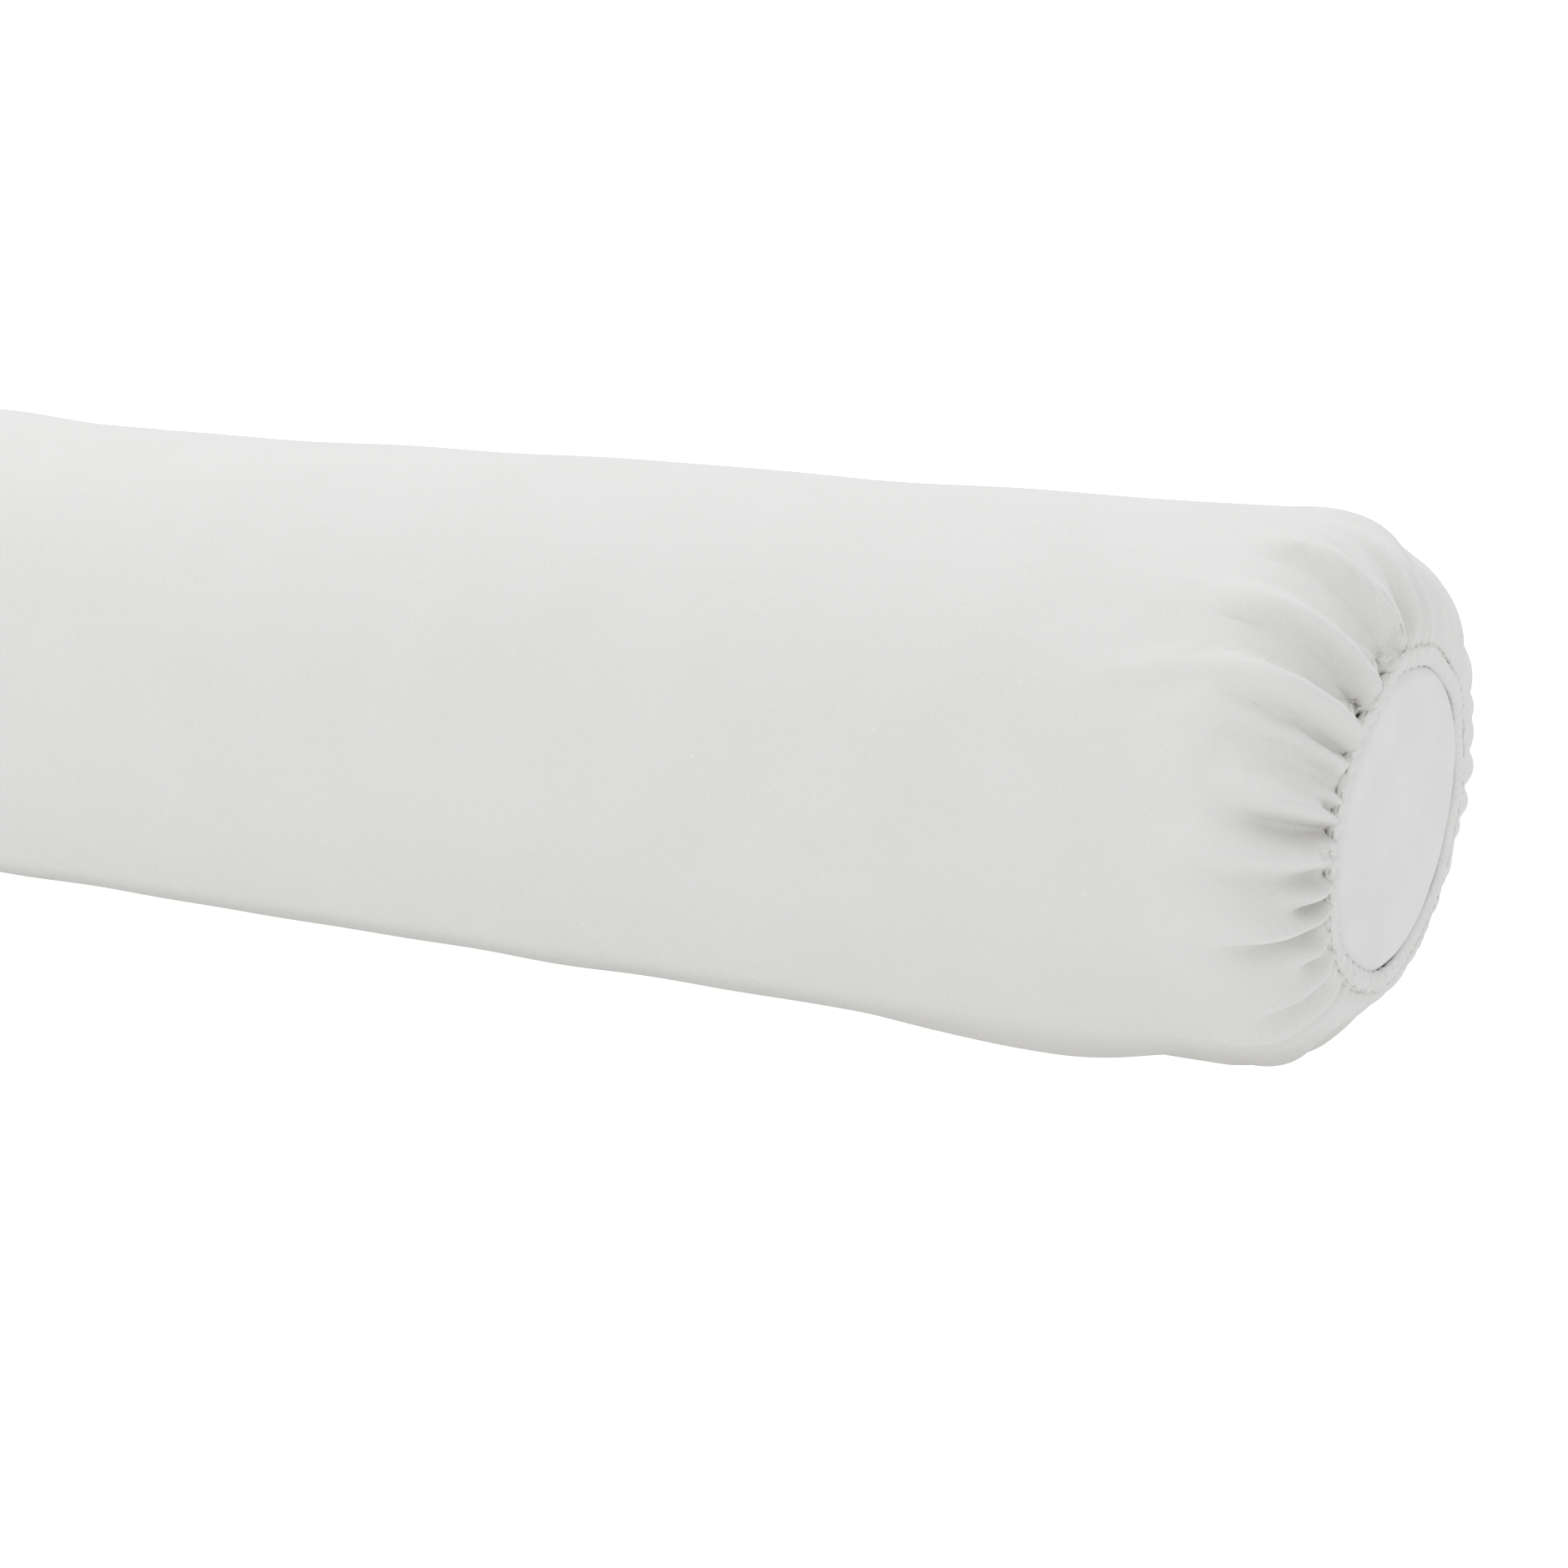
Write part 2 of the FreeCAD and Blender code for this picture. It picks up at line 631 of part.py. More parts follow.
def cover_turning(name, inset):
    """A body turned about the roll's axis that tapers the slack cloth in and rounds the cover's ends."""
    body = new_body(name)
    sketch = new_sketch(body, "XZ_Plane")
    end = f"(Dims.cover_half_length - {inset})"
    start, reach = "Dims.taper_start", f"(Dims.taper_reach - {inset})"
    rim = f"(Dims.taper_end_radius - {inset})"
    draw_polygon(
        sketch,
        [
            (f"-{end}", "0"),
            (end, "0"),
            (end, rim),
            (start, reach),
            (f"-{start}", reach),
            (f"-{end}", rim),
        ],
    )
    turned = turn(body, sketch)

    def end_edge(edge):
        return is_circle(edge) and abs(abs(edge.CenterOfMass.x) - size(end)) < NEAR

    round_edges(body, turned, f"Dims.cover_shoulder - {inset}", end_edge)
    body.setExpression("Placement.Base.z", "Dims.axis_height")
    return body


def make_cover():
    """The cover's cloth: an outer form less an inner form, open at both ends."""
    forms = []
    for name, inset in (("outer", "0"), ("inner", "Dims.cloth")):
        section = cover_section(f"cover_section_{name}", inset)
        turning = cover_turning(f"cover_turning_{name}", inset)
        forms.append(combine("Part::Common", f"cover_form_{name}", section, turning))
    opening = doc.addObject("Part::Cylinder", "cover_opening")
    opening.setExpression("Radius", "Dims.opening_radius + Dims.casing_width + Dims.layer_gap")
    opening.setExpression("Height", "3 * Dims.cover_half_length")
    opening.Placement.Rotation = Rotation(Vector(0, 1, 0), 90)
    opening.setExpression("Placement.Base.x", "-1.5 * Dims.cover_half_length")
    opening.setExpression("Placement.Base.z", "Dims.axis_height")
    hollow = combine("Part::Fuse", "cover_hollow", forms[1], opening)
    finish_part(combine("Part::Cut", "cover_cloth", forms[0], hollow), "cover_tube")


def ring_body(name, side, x_half, r_low, r_high, rounding=None, cavity=None):
    """A ring about the roll's axis at one end of the cover, with a rectangular section, or with its edges
    rounded, or with a rectangular cavity of (half size along X, low radius, high radius)."""
    body = new_body(name)
    sketch = new_sketch(body, "XZ_Plane")
    draw_box(sketch, f"-{x_half}", x_half, r_low, r_high)
    ring = turn(body, sketch)
    if rounding:
        ring = round_edges(body, ring, rounding, is_circle)
    if cavity:
        hollow = new_sketch(body, "XZ_Plane")
        draw_box(hollow, f"-{cavity[0]}", cavity[0], cavity[1], cavity[2])
        turn(body, hollow, "PartDesign::Groove")
    middle = "(Dims.cover_half_length - Dims.casing_thickness / 2)"
    body.setExpression("Placement.Base.x", f"{side} * {middle}")
    body.setExpression("Placement.Base.z", "Dims.axis_height")
    return body


def make_hems():
    """At each end: the casing, the flat elastic inside it, and the stitching that closes it."""
    low, width = "Dims.opening_radius", "Dims.casing_width"
    wall = "Dims.casing_wall"
    middle = f"({low} + {width} / 2)"
    half_band = "Dims.elastic_width / 2"
    room = f"(Dims.casing_thickness / 2 - {wall})"
    at_axis = Placement(Vector(0, 0, size("Dims.axis_height")), Rotation())
    thread_radius = size(f"{low} + {width} / 2 + {half_band} + {wall} / 2")
    thread_x = size("Dims.cover_half_length + Dims.thread / 2 + Dims.layer_gap / 2")
    for side, name in ((1, "right"), (-1, "left")):
        casing = ring_body(
            f"casing_{name}",
            side,
            "Dims.casing_thickness / 2",
            low,
            f"({low} + {width})",
            rounding="Dims.casing_thickness * 0.4",
            cavity=(room, f"({low} + {wall})", f"({low} + {width} - {wall})"),
        )
        finish_part(casing, f"hem_casing_{name}")
        band = ring_body(
            f"elastic_{name}",
            side,
            "Dims.elastic_thickness / 2",
            f"({middle} - {half_band})",
            f"({middle} + {half_band})",
        )
        finish_part(band, f"hem_elastic_{name}")
        ring = stitch_ring(side * thread_x, thread_radius)
        shape_part(f"hem_stitching_{name}", Part.makeCompound(ring), at_axis)


def make_long_seam():
    """The cover's long seam inside the slack cloth behind the roll, and the care label sewn to it."""
    frame = round_the_roll(size("Dims.skirt_angle"), side=1)
    half, width = size("Dims.seam_half_length"), size("Dims.seam_width")
    thickness, gap = size("Dims.seam_thickness"), size("Dims.layer_gap")
    inside = size("Dims.cover_radius - Dims.cloth") - gap
    low_y = -size("Dims.seam_top") - width
    allowance = block(
        "allowance", "2 * Dims.seam_half_length", "Dims.seam_width", "Dims.seam_thickness"
    )
    for axis in "xyz":
        allowance.setExpression(f"Placement.Base.{axis}", None)
    corner = Vector(-half, low_y, inside - thickness)
    allowance.Placement = frame.multiply(Placement(corner, Rotation()))
    finish_part(allowance, "cover_seam_allowance")

    thread_z = inside - thickness - gap / 2 - size("Dims.thread") / 2
    row = stitch_row(-half, half, low_y + width / 2, thread_z)
    row_half_label = size("Dims.label_length") / 2 + size("Dims.stitch")
    label_x = size("Dims.label_place")
    row = [p for p in row if abs(p.CenterOfMass.x - label_x) > row_half_label]
    shape_part("cover_seam_stitching", Part.makeCompound(row), frame)

    drop = size("Dims.label_drop")
    label = Part.makeBox(
        size("Dims.label_length"),
        drop,
        size("Dims.label_thickness"),
        Vector(
            label_x - size("Dims.label_length") / 2,
            low_y + width / 2 - drop / 2,
            inside - thickness - gap - size("Dims.label_thickness"),
        ),
    )
    shape_part("care_label", label, frame)


# ---------------------------------------------------------------- build and write


def check_and_write():
    """Stops on any failed object or bad shape, then writes one STEP file for each sub-part."""
    doc.recompute()
    for item in doc.Objects:
        if "Invalid" in item.State or "Error" in item.State:
            raise RuntimeError(f"{item.Label} failed: {item.State}")
    for item in finished:
        if item.Shape.isNull() or not item.Shape.isValid() or item.Shape.Volume <= 0:
            raise RuntimeError(f"{item.Label} has no valid shape")
    os.makedirs("parts", exist_ok=True)
    for item in finished:
        item.Shape.exportStep(os.path.join("parts", f"{item.Label}.step"))
        print(f"{item.Label}: {len(item.Shape.Solids)} solids, {item.Shape.Volume:.0f} mm3")


make_roll()
make_end_stitching()
make_zip()
make_cover()
make_hems()
make_long_seam()
check_and_write()
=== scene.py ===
"""Looks for the massage bolster: a foam roll in artificial leather, dressed in a brushed-cloth cover with
gathered ends.

All lengths are metres in the row frame: +X along the roll, -Y to its front, +Z up, origin on the table.
Round the roll, theta is 0 straight down, 90 degrees at the back and 180 degrees on top.
"""

import math

import bmesh
import bpy
import numpy as np
from mathutils import Matrix, Vector


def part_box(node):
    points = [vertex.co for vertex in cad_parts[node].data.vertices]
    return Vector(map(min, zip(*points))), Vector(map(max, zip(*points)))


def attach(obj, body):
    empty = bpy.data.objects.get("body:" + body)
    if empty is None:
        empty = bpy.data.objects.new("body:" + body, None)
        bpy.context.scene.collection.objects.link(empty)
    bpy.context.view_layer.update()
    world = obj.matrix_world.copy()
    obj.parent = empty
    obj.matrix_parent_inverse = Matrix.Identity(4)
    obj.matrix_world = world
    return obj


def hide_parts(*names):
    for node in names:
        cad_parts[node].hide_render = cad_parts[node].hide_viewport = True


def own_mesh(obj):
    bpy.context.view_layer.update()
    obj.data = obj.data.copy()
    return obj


MM = 0.001
ROUNDING = 1e-6
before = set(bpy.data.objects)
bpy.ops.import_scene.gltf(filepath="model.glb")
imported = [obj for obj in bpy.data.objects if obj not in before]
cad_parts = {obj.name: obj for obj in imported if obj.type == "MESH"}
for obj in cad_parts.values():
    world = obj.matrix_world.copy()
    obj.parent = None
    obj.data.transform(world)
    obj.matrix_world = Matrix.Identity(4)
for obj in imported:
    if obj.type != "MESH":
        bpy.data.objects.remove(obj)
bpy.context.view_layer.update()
SCENE = bpy.context.scene

# Sizes read off the frame.
SKIN_LOW, SKIN_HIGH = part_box("skin_tube_panel")
PANEL_LOW, PANEL_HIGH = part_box("skin_end_panel_right")
COVER_LOW, COVER_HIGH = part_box("cover_tube")
CASING_LOW, CASING_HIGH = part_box("hem_casing_right")
SKIN_RADIUS = (SKIN_HIGH.y - SKIN_LOW.y) / 2
AXIS = SKIN_HIGH.z - SKIN_RADIUS
SKIN_END = PANEL_HIGH.x
SKIN_SHOULDER = 32 * MM
TUBE_END = SKIN_END - SKIN_SHOULDER
FACE_RADIUS = SKIN_RADIUS - SKIN_SHOULDER
LEAN_START = SKIN_END - 45 * MM
SKIN_SEAM = (SKIN_HIGH.x + PANEL_LOW.x) / 2
END_DOME = 4 * MM
COVER_RADIUS = (COVER_HIGH.y - COVER_LOW.y) / 2
HEM_RADIUS = (CASING_HIGH.z - CASING_LOW.z) / 2
HEM_FRONT = CASING_HIGH.x

# The dressed section: slack cloth leaves the roll, drops to a crease, turns under and meets the table. Near
# the right end the crease is lower and the cloth meets the table sooner.
CLOTH = 0.96 * MM
SKIRT_TURN = math.radians(60)
CREASE_HEIGHT = 7.5 * MM
CREASE_LIFT = 2 * MM
CREASE_EASE = (170 * MM, 240 * MM)
UNDER_TURN = math.radians(27)
SAG_TURN = math.radians(25)
SAG_EASE = (185 * MM, 245 * MM)
SECTION_SHARPNESS = 70

# Slow unevenness of the cloth. Each wave has a height in millimetres, radians per metre along the roll, a
# number of waves round it, and a phase. The swell is a low rise on top, left of the middle.
DRIFT_WAVES = [(0.35, 17, 2, 0.4), (0.3, 31, -3, 1.9), (0.22, 57, 1, 5.1), (0.15, 90, 4, 2.2)]
SLACK_WAVES = [(0.4, 26, 0, 0.8), (0.25, 61, 0, 2.1), (0.15, 118, 0, 4.0)]
SWELL = 3.4
SWELL_RISE = (125 * MM, 175 * MM)
SWELL_FALL = (185 * MM, 235 * MM)

# The ends of the cover.
END_START = 235 * MM
SLACK_DRAWN_IN = (250 * MM, 304 * MM)
BOTTOM_TUCK = 3 * MM
BOTTOM_TUCK_EASE = (262 * MM, 300 * MM)
SHOULDER_START = 296 * MM
SHOULDER_CENTRE = 36 * MM
SHOULDER_POWER = 2.36
SHOULDER_END = HEM_FRONT - 1.2 * MM
GATHER_RADIUS = 45.8 * MM
OPENING_DROP = 4.4 * MM
OPENING_DROP_REACH = 52 * MM
OPENING_TILT = math.radians(4.3)
OPENING_TILT_EASE = (2 * MM, 40 * MM)
HEM_PLEATS = 54
HEM_RIB_REACH = (1 * MM, 10 * MM)
STAND_OFF = 1.2 * MM
STAND_OFF_RISE = (-3 * MM, 12 * MM)
STAND_OFF_FALL = (16 * MM, 62 * MM)
UNDER_TUCK = 6.5 * MM
UNDER_TUCK_PLACE = 0.35
UNDER_TUCK_RISE = (2 * MM, 18 * MM)
UNDER_TUCK_FALL = (34 * MM, 75 * MM)
ROLL_ROOM = 1.5 * MM

# Folds that run out from the hem in front: place round the roll in degrees, then length, depth and half
# width at the hem in millimetres. The same folds are turned about the vertical for the left end.
FRONT_FOLDS = [
    (171, 25, 1.3, 1.0),
    (-174, 34, 1.5, 1.0),
    (-164, 22, 0.8, 1.2),
    (-155, 40, 3.2, 1.8),
    (-146, 17, 0.7, 1.2),
    (-137, 42, 3.4, 1.5),
    (-130, 11, 1.0, 1.0),
    (-122, 37, 3.6, 1.5),
    (-114, 36, 2.2, 1.9),
    (-105, 10, 1.8, 1.0),
    (-99, 31, 3.0, 1.2),
    (-92, 9, 2.0, 1.0),
    (-86, 40, 2.2, 1.9),
    (-77, 16, 2.4, 1.3),
    (-70, 36, 2.9, 1.2),
    (-60, 13, 1.8, 1.1),
    (-50, 28, 1.6, 1.3),
    (-38, 36, 1.4, 1.5),
]
FOLD_STRENGTH = 1.9
FRONT_FOLD_START = (0.36, 8 * MM)

# Folds drawn at random over the rest of the end. A fold's start is its share of its depth at the hem, and how
# far from the hem it reaches its full depth.
HIDDEN_FOLDS = 22
HIDDEN_SEED = 12
HIDDEN_FOLD_START = (0.12, 30 * MM)

# The hems, and the cover off the roll.
CASING_RADIUS = HEM_RADIUS - 4.4 * MM
CASING_MIDDLE = (CASING_LOW.x + CASING_HIGH.x) / 2 - 0.4 * MM
CASING_HALF_WIDTH = 2.8 * MM
CASING_HALF_DEPTH = 1.3 * MM
HEM_STITCH_TURN = math.radians(40)
HEM_STITCHES = 88
HEM_STITCH_SPAN = 0.043
ELASTIC_INSET = 0.9 * MM

# The roll: slow dents of the skin, as waves like the cloth's, and the depths of its layers.
SKIN_SHEET = 0.9 * MM
SKIN_DENTS = [(0.25, 19, 1, 0.6), (0.2, 43, -2, 1.0)]
FOAM_DEPTH = 7.4 * MM
WADDING_DEPTH = 1.2 * MM
PANEL_MIDDLE = 2 * MM
END_STITCHES = 79

# The zip lies low on the front of the roll.
ZIP_TURN = math.radians(-42)
SLOT_HALF_WIDTH = 5.6 * MM
SLOT_HALF_LENGTH = 246.5 * MM
CHANNEL_DEPTH = 4.3 * MM

# A tape's section, in millimetres up from the zip's centre line and out from the skin.
TAPE_SECTION = [(1.2, -2.75), (1.2, -2.36), (2.0, -2.32), (4, -2.32), (8, -2.45), (10.5, -2.6), (12.9, -2.8)]
TAPE_SECTION += [(12.9, -3.15), (10.5, -3.0), (8, -2.9), (4, -2.8), (2.0, -2.8)]

# The cover's long seam lies low behind the roll. The section of its edges is in millimetres down the slack
# cloth and inside it.
SEAM_TURN = math.radians(45)
SEAM_HALF_LENGTH = 262 * MM
SEAM_SECTION = [(20.2, 1.5), (24, 1.4), (28.6, 1.6), (28.9, 2.2), (28.6, 2.8), (24, 2.6), (20.2, 2.4)]

# How finely the cover is meshed and settled.
COLUMNS = 400
END_ROW_SPACING = 1.6 * MM
MIDDLE_ROW_SPACING = 3 * MM
MIDDLE_BLEND = 60 * MM
TABLE_GAP = 0.2 * MM
SIMULATION_SCALE = 10
SIMULATION_FRAMES = 26
FIXED_ROWS = 2

# The camera and the lights.
CAMERA_PLACE = Vector((0.6458, -0.8268, AXIS + 0.2026))
CAMERA_AZIMUTH = math.radians(31.44)
CAMERA_ELEVATION = math.radians(12.66)
CAMERA_ROLL = math.radians(-0.62)
CAMERA_LENS = 78.73
CAMERA_SENSOR = 36
WORLD_LIGHT = 0.76
KEY_LIGHT = 6
TOP_LIGHT = 10
FLOOR_GLOW = 0.93
FLOOR_BOUNCE = 0.48


def smooth(value, low, high):
    """0 below low, 1 above high, and an easy curve between them."""
    t = np.clip((value - low) / (high - low), 0, 1)
    return t * t * (3 - 2 * t)


# ---- meshes


def add_mesh(name, points, faces, material=None):
    """A mesh object from points and faces, shaded smooth."""
    mesh = bpy.data.meshes.new(name)
    mesh.from_pydata([tuple(p) for p in points], [], faces)
    mesh.update()
    mesh.polygons.foreach_set("use_smooth", [True] * len(mesh.polygons))
    obj = bpy.data.objects.new(name, mesh)
    SCENE.collection.objects.link(obj)
    if material:
        mesh.materials.append(material)
    return obj


def grid_faces(rows, columns, closed=True):
    """Quads between rows of points. The columns run in a ring when closed."""
    faces = []
    last = columns if closed else columns - 1
    for i in range(rows - 1):
        for j in range(last):
            k = (j + 1) % columns
            faces.append((i * columns + j, (i + 1) * columns + j, (i + 1) * columns + k, i * columns + k))
    return faces


def stand_in(piece, body, node_name):
    """Puts a piece in place of its CAD node, on the node's body."""
    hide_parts(node_name)
    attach(piece, body)


def thicken(obj, thickness):
    """Gives a sheet its thickness, inwards."""
    sheet = obj.modifiers.new("thickness", "SOLIDIFY")
    sheet.thickness = thickness
    sheet.offset = -1
    apply_modifiers(obj)


def ribbon_mesh(name, sections, material):
    """A closed ribbon from a row of sections, capped at both ends."""
    size = len(sections[0])
    points = [point for section in sections for point in section]
    faces = grid_faces(len(sections), size)
    faces.append(tuple(range(size)))
    faces.append(tuple(len(points) - 1 - k for k in range(size)))
    ribbon = add_mesh(name, points, faces, material)
    outward_normals(ribbon)
    return ribbon


def outward_normals(obj):
    """Makes a closed mesh's faces look outwards."""
    work = bmesh.new()
    work.from_mesh(obj.data)
    bmesh.ops.recalc_face_normals(work, faces=work.faces)
    work.to_mesh(obj.data)
    work.free()


def apply_modifiers(obj):
    """Bakes the object's modifiers and shape keys into its mesh."""
    graph = bpy.context.evaluated_depsgraph_get()
    baked = bpy.data.meshes.new_from_object(obj.evaluated_get(graph))
    obj.modifiers.clear()
    obj.data = baked


def coordinates(obj):
    """The mesh's points, one row each."""
    points = np.empty(len(obj.data.vertices) * 3)
    obj.data.vertices.foreach_get("co", points)
    return points.reshape(-1, 3)


# ---- the cover's outline


def section_radius(theta, crease=CREASE_HEIGHT, under_turn=UNDER_TURN):
    """Distance from the axis to the dressed section, away from the ends."""
    turned = np.abs(theta)
    skirt = COVER_RADIUS / np.cos(np.minimum(turned - SKIRT_TURN, 0))
    crease_drop = AXIS - crease
    crease_y = (COVER_RADIUS - crease_drop * math.cos(SKIRT_TURN)) / math.sin(SKIRT_TURN)
    under_distance = crease_y * np.sin(under_turn) + crease_drop * np.cos(under_turn)
    under = under_distance / np.maximum(np.cos(turned - under_turn), 0.05)
    table = AXIS / np.maximum(np.cos(turned), 0.05)
    total = skirt**-SECTION_SHARPNESS + under**-SECTION_SHARPNESS + table**-SECTION_SHARPNESS
    return total ** (-1 / SECTION_SHARPNESS)


def even_angles():
    """Angles that cut the section into equal lengths, symmetric about the vertical."""
    fine = np.linspace(0, math.pi, 4001)
    radius = section_radius(fine)
    y, z = radius * np.sin(fine), -radius * np.cos(fine)
    length = np.concatenate(([0], np.cumsum(np.hypot(np.diff(y), np.diff(z)))))
    half = np.interp(np.linspace(0, length[-1], COLUMNS // 2 + 1), length, fine)
    return np.concatenate((half[:-1], -half[:0:-1]))


def add_waves(waves, theta, x):
    """The sum of a table of waves along and round the roll."""
    return sum(height * np.sin(along * x + around * theta + phase) for height, along, around, phase in waves)


def unevenness(theta, x):
    """Slow unevenness of the cloth: none on the table, slack waves low down, and a swell on top."""
    turned = np.abs(theta)
    low = 1 - smooth(turned, math.radians(35), math.radians(80))
    high = smooth(turned, math.radians(100), math.radians(150))
    off_table = smooth(turned, math.radians(18), math.radians(32))
    swell = SWELL * smooth(-x, *SWELL_RISE) * (1 - smooth(-x, *SWELL_FALL))
    height = add_waves(DRIFT_WAVES, theta, x) + low * add_waves(SLACK_WAVES, theta, x) + high * swell
    return height * off_table * MM


def body_radius(theta, x):
    """Distance from the axis to the cover before the shoulder, where the slack cloth is drawn in."""
    crease = CREASE_HEIGHT + CREASE_LIFT * (1 - smooth(x, *CREASE_EASE))
    under_turn = UNDER_TURN + SAG_TURN * smooth(x, *SAG_EASE)
    full = section_radius(theta, crease, under_turn)
    slack = np.maximum(full - COVER_RADIUS, 0)
    radius = full - slack * smooth(np.abs(x), *SLACK_DRAWN_IN)
    under = 1 - smooth(np.abs(theta), math.radians(25), math.radians(85))
    tuck = BOTTOM_TUCK * smooth(np.abs(x), *BOTTOM_TUCK_EASE) * under
    return radius - tuck + unevenness(theta, x)


def end_curve(theta):
    """The right end's outline at one angle, to the hem: length along it, axial place and radius."""
    straight = np.linspace(END_START, SHOULDER_START, 120)
    turn = np.linspace(0, math.pi / 2, 400)[1:]
    power = 2 / SHOULDER_POWER
    reach = body_radius(theta, SHOULDER_START) - SHOULDER_CENTRE
    shoulder_x = SHOULDER_START + (SHOULDER_END - SHOULDER_START) * np.sin(turn) ** power
    shoulder_r = SHOULDER_CENTRE + reach * np.cos(turn) ** power
    outside = shoulder_r > GATHER_RADIUS
    x = np.concatenate((straight, shoulder_x[outside]))
    r = np.concatenate((body_radius(theta, straight), shoulder_r[outside]))
    length = np.concatenate(([0], np.cumsum(np.hypot(np.diff(x), np.diff(r)))))
    return length, x, r


def end_profile(angles):
    """Axial place and radius for each row and column of the right end, and the mean length of its outline."""
    curves = [end_curve(theta) for theta in angles]
    mean_length = float(np.mean([length[-1] for length, _, _ in curves]))
    rows = int(round(mean_length / END_ROW_SPACING)) + 1
    share = np.linspace(0, 1, rows)
    x = np.array([np.interp(share * length[-1], length, x) for length, x, _ in curves]).T
    r = np.array([np.interp(share * length[-1], length, r) for length, _, r in curves]).T
    return x, r, mean_length


def uneven(theta, seed, size):
    """A smooth warp of the angle, so that folds are not evenly spaced."""
    draw = np.random.default_rng(seed)
    total = np.zeros_like(theta)
    for k in range(1, 8):
        total += draw.uniform(-1, 1) / k * np.sin(k * theta + draw.uniform(0, 2 * math.pi))
    return theta + 0.10 * size * total


def strength(theta, seed, low):
    """How strong the folds are at each angle, between low and 1."""
    draw = np.random.default_rng(seed)
    total = np.zeros_like(theta)
    for k in range(2, 14):
        total += draw.uniform(-1, 1) * np.sin(k * theta + draw.uniform(0, 2 * math.pi))
    total = 0.5 + 0.5 * np.tanh(total / 1.6)
    return low + (1 - low) * total


def hem_lean(theta, radius):
    """How far the tilted end stands out along the roll: the top leans out and the bottom is drawn in."""
    return -math.sin(OPENING_TILT) * radius * np.cos(theta)


def all_folds():
    """The folds in front, and drawn ones over the rest of the end, each with its start."""
    draw = np.random.default_rng(HIDDEN_SEED)
    places = np.linspace(-28, 162, HIDDEN_FOLDS) + draw.uniform(-3, 3, HIDDEN_FOLDS)
    lengths = draw.choice([18, 28, 40], HIDDEN_FOLDS) + draw.uniform(-3, 3, HIDDEN_FOLDS)
    depths = draw.uniform(0.9, 1.5, HIDDEN_FOLDS) * (0.65 + 0.55 * smooth(places, 30, 90))
    widths = draw.uniform(1.0, 1.6, HIDDEN_FOLDS)
    front = [(*row, FRONT_FOLD_START) for row in FRONT_FOLDS]
    hidden = [(*row, HIDDEN_FOLD_START) for row in zip(places, lengths, depths, widths)]
    return front + hidden


def gathers(angles, from_hem):
    """Height of the gathers above the smooth outline: fine ribs meet the hem, and folds of many lengths run
    out over the shoulder."""
    theta = angles[None, :] * np.ones_like(from_hem)
    ribs = hem_ribs(theta) - 0.5
    height = (1.6 - 1.2 * behind(theta)) * MM * ribs * (1 - smooth(from_hem, *HEM_RIB_REACH))
    height += STAND_OFF * smooth(from_hem, *STAND_OFF_RISE) * (1 - smooth(from_hem, *STAND_OFF_FALL))
    for place, length, depth, half_width, (share_at_hem, growth) in all_folds():
        ridge = fold(theta, from_hem, math.radians(place), length * MM, depth * MM, half_width * MM)
        height += ridge * (share_at_hem + (1 - share_at_hem) * smooth(from_hem, 0, growth))
    return height


def behind(theta):
    """0 on the front half of the end and 1 on the back half."""
    return smooth(np.sin(theta), -0.35, 0.5)


def hem_ribs(theta):
    """Ribs of the gathered hem, 0 to 1: coarse in front and finer behind."""
    warped = HEM_PLEATS * uneven(theta, 3, 0.25)
    coarse = 0.5 + 0.5 * np.cos(warped)
    fine = 0.5 + 0.5 * np.cos(2 * warped + 1.3 * np.sin(5 * theta))
    share = behind(theta)
    return (coarse * (1 - share) + (0.4 * coarse + 0.6 * fine) * share) * strength(theta, 11, 0.45)


def wrap(angle):
    """The same angle between minus and plus half a turn."""
    return (angle + math.pi) % (2 * math.pi) - math.pi


def fold(theta, from_hem, place, length, depth, half_width):
    """One fold from the hem outwards: a ridge on its upper side, a steep drop under it, and an easy rise
    below. It is narrow at the hem and wide and shallow at its end."""
    down = 1 if place < 0 else -1
    offset = wrap(theta - place) * down * (HEM_RADIUS + 0.7 * from_hem)
    half = half_width + 0.07 * from_hem
    steep = np.exp(-((offset / (0.7 * half)) ** 2))
    easy = np.exp(-((np.abs(offset) / (1.7 * half)) ** 1.5))
    cut = np.where(offset < 0, steep, easy)
    ridge = np.exp(-(((offset + 2.0 * half) / (1.3 * half)) ** 2))
    fade = 1 - smooth(from_hem, 0.6 * length, 1.3 * length)
    return FOLD_STRENGTH * depth * fade * (0.85 * ridge - 0.95 * cut)


# ---- the gathered end


def end_surface(angles):
    """The right end of the cover: rows of points from END_START to the hem, gathered and relaxed."""
    x, r, mean_length = end_profile(angles)
    from_hem = np.linspace(mean_length, 0, len(x))[:, None] * np.ones_like(x)
    start = keep_off_roll(gathered_end(x, r, angles, from_hem))
    radius = section_radius(angles)[None, :] * np.ones_like(x)
    rest = to_points(END_START + (mean_length - from_hem), radius, angles, np.zeros_like(x))
    return relax(start, rest)


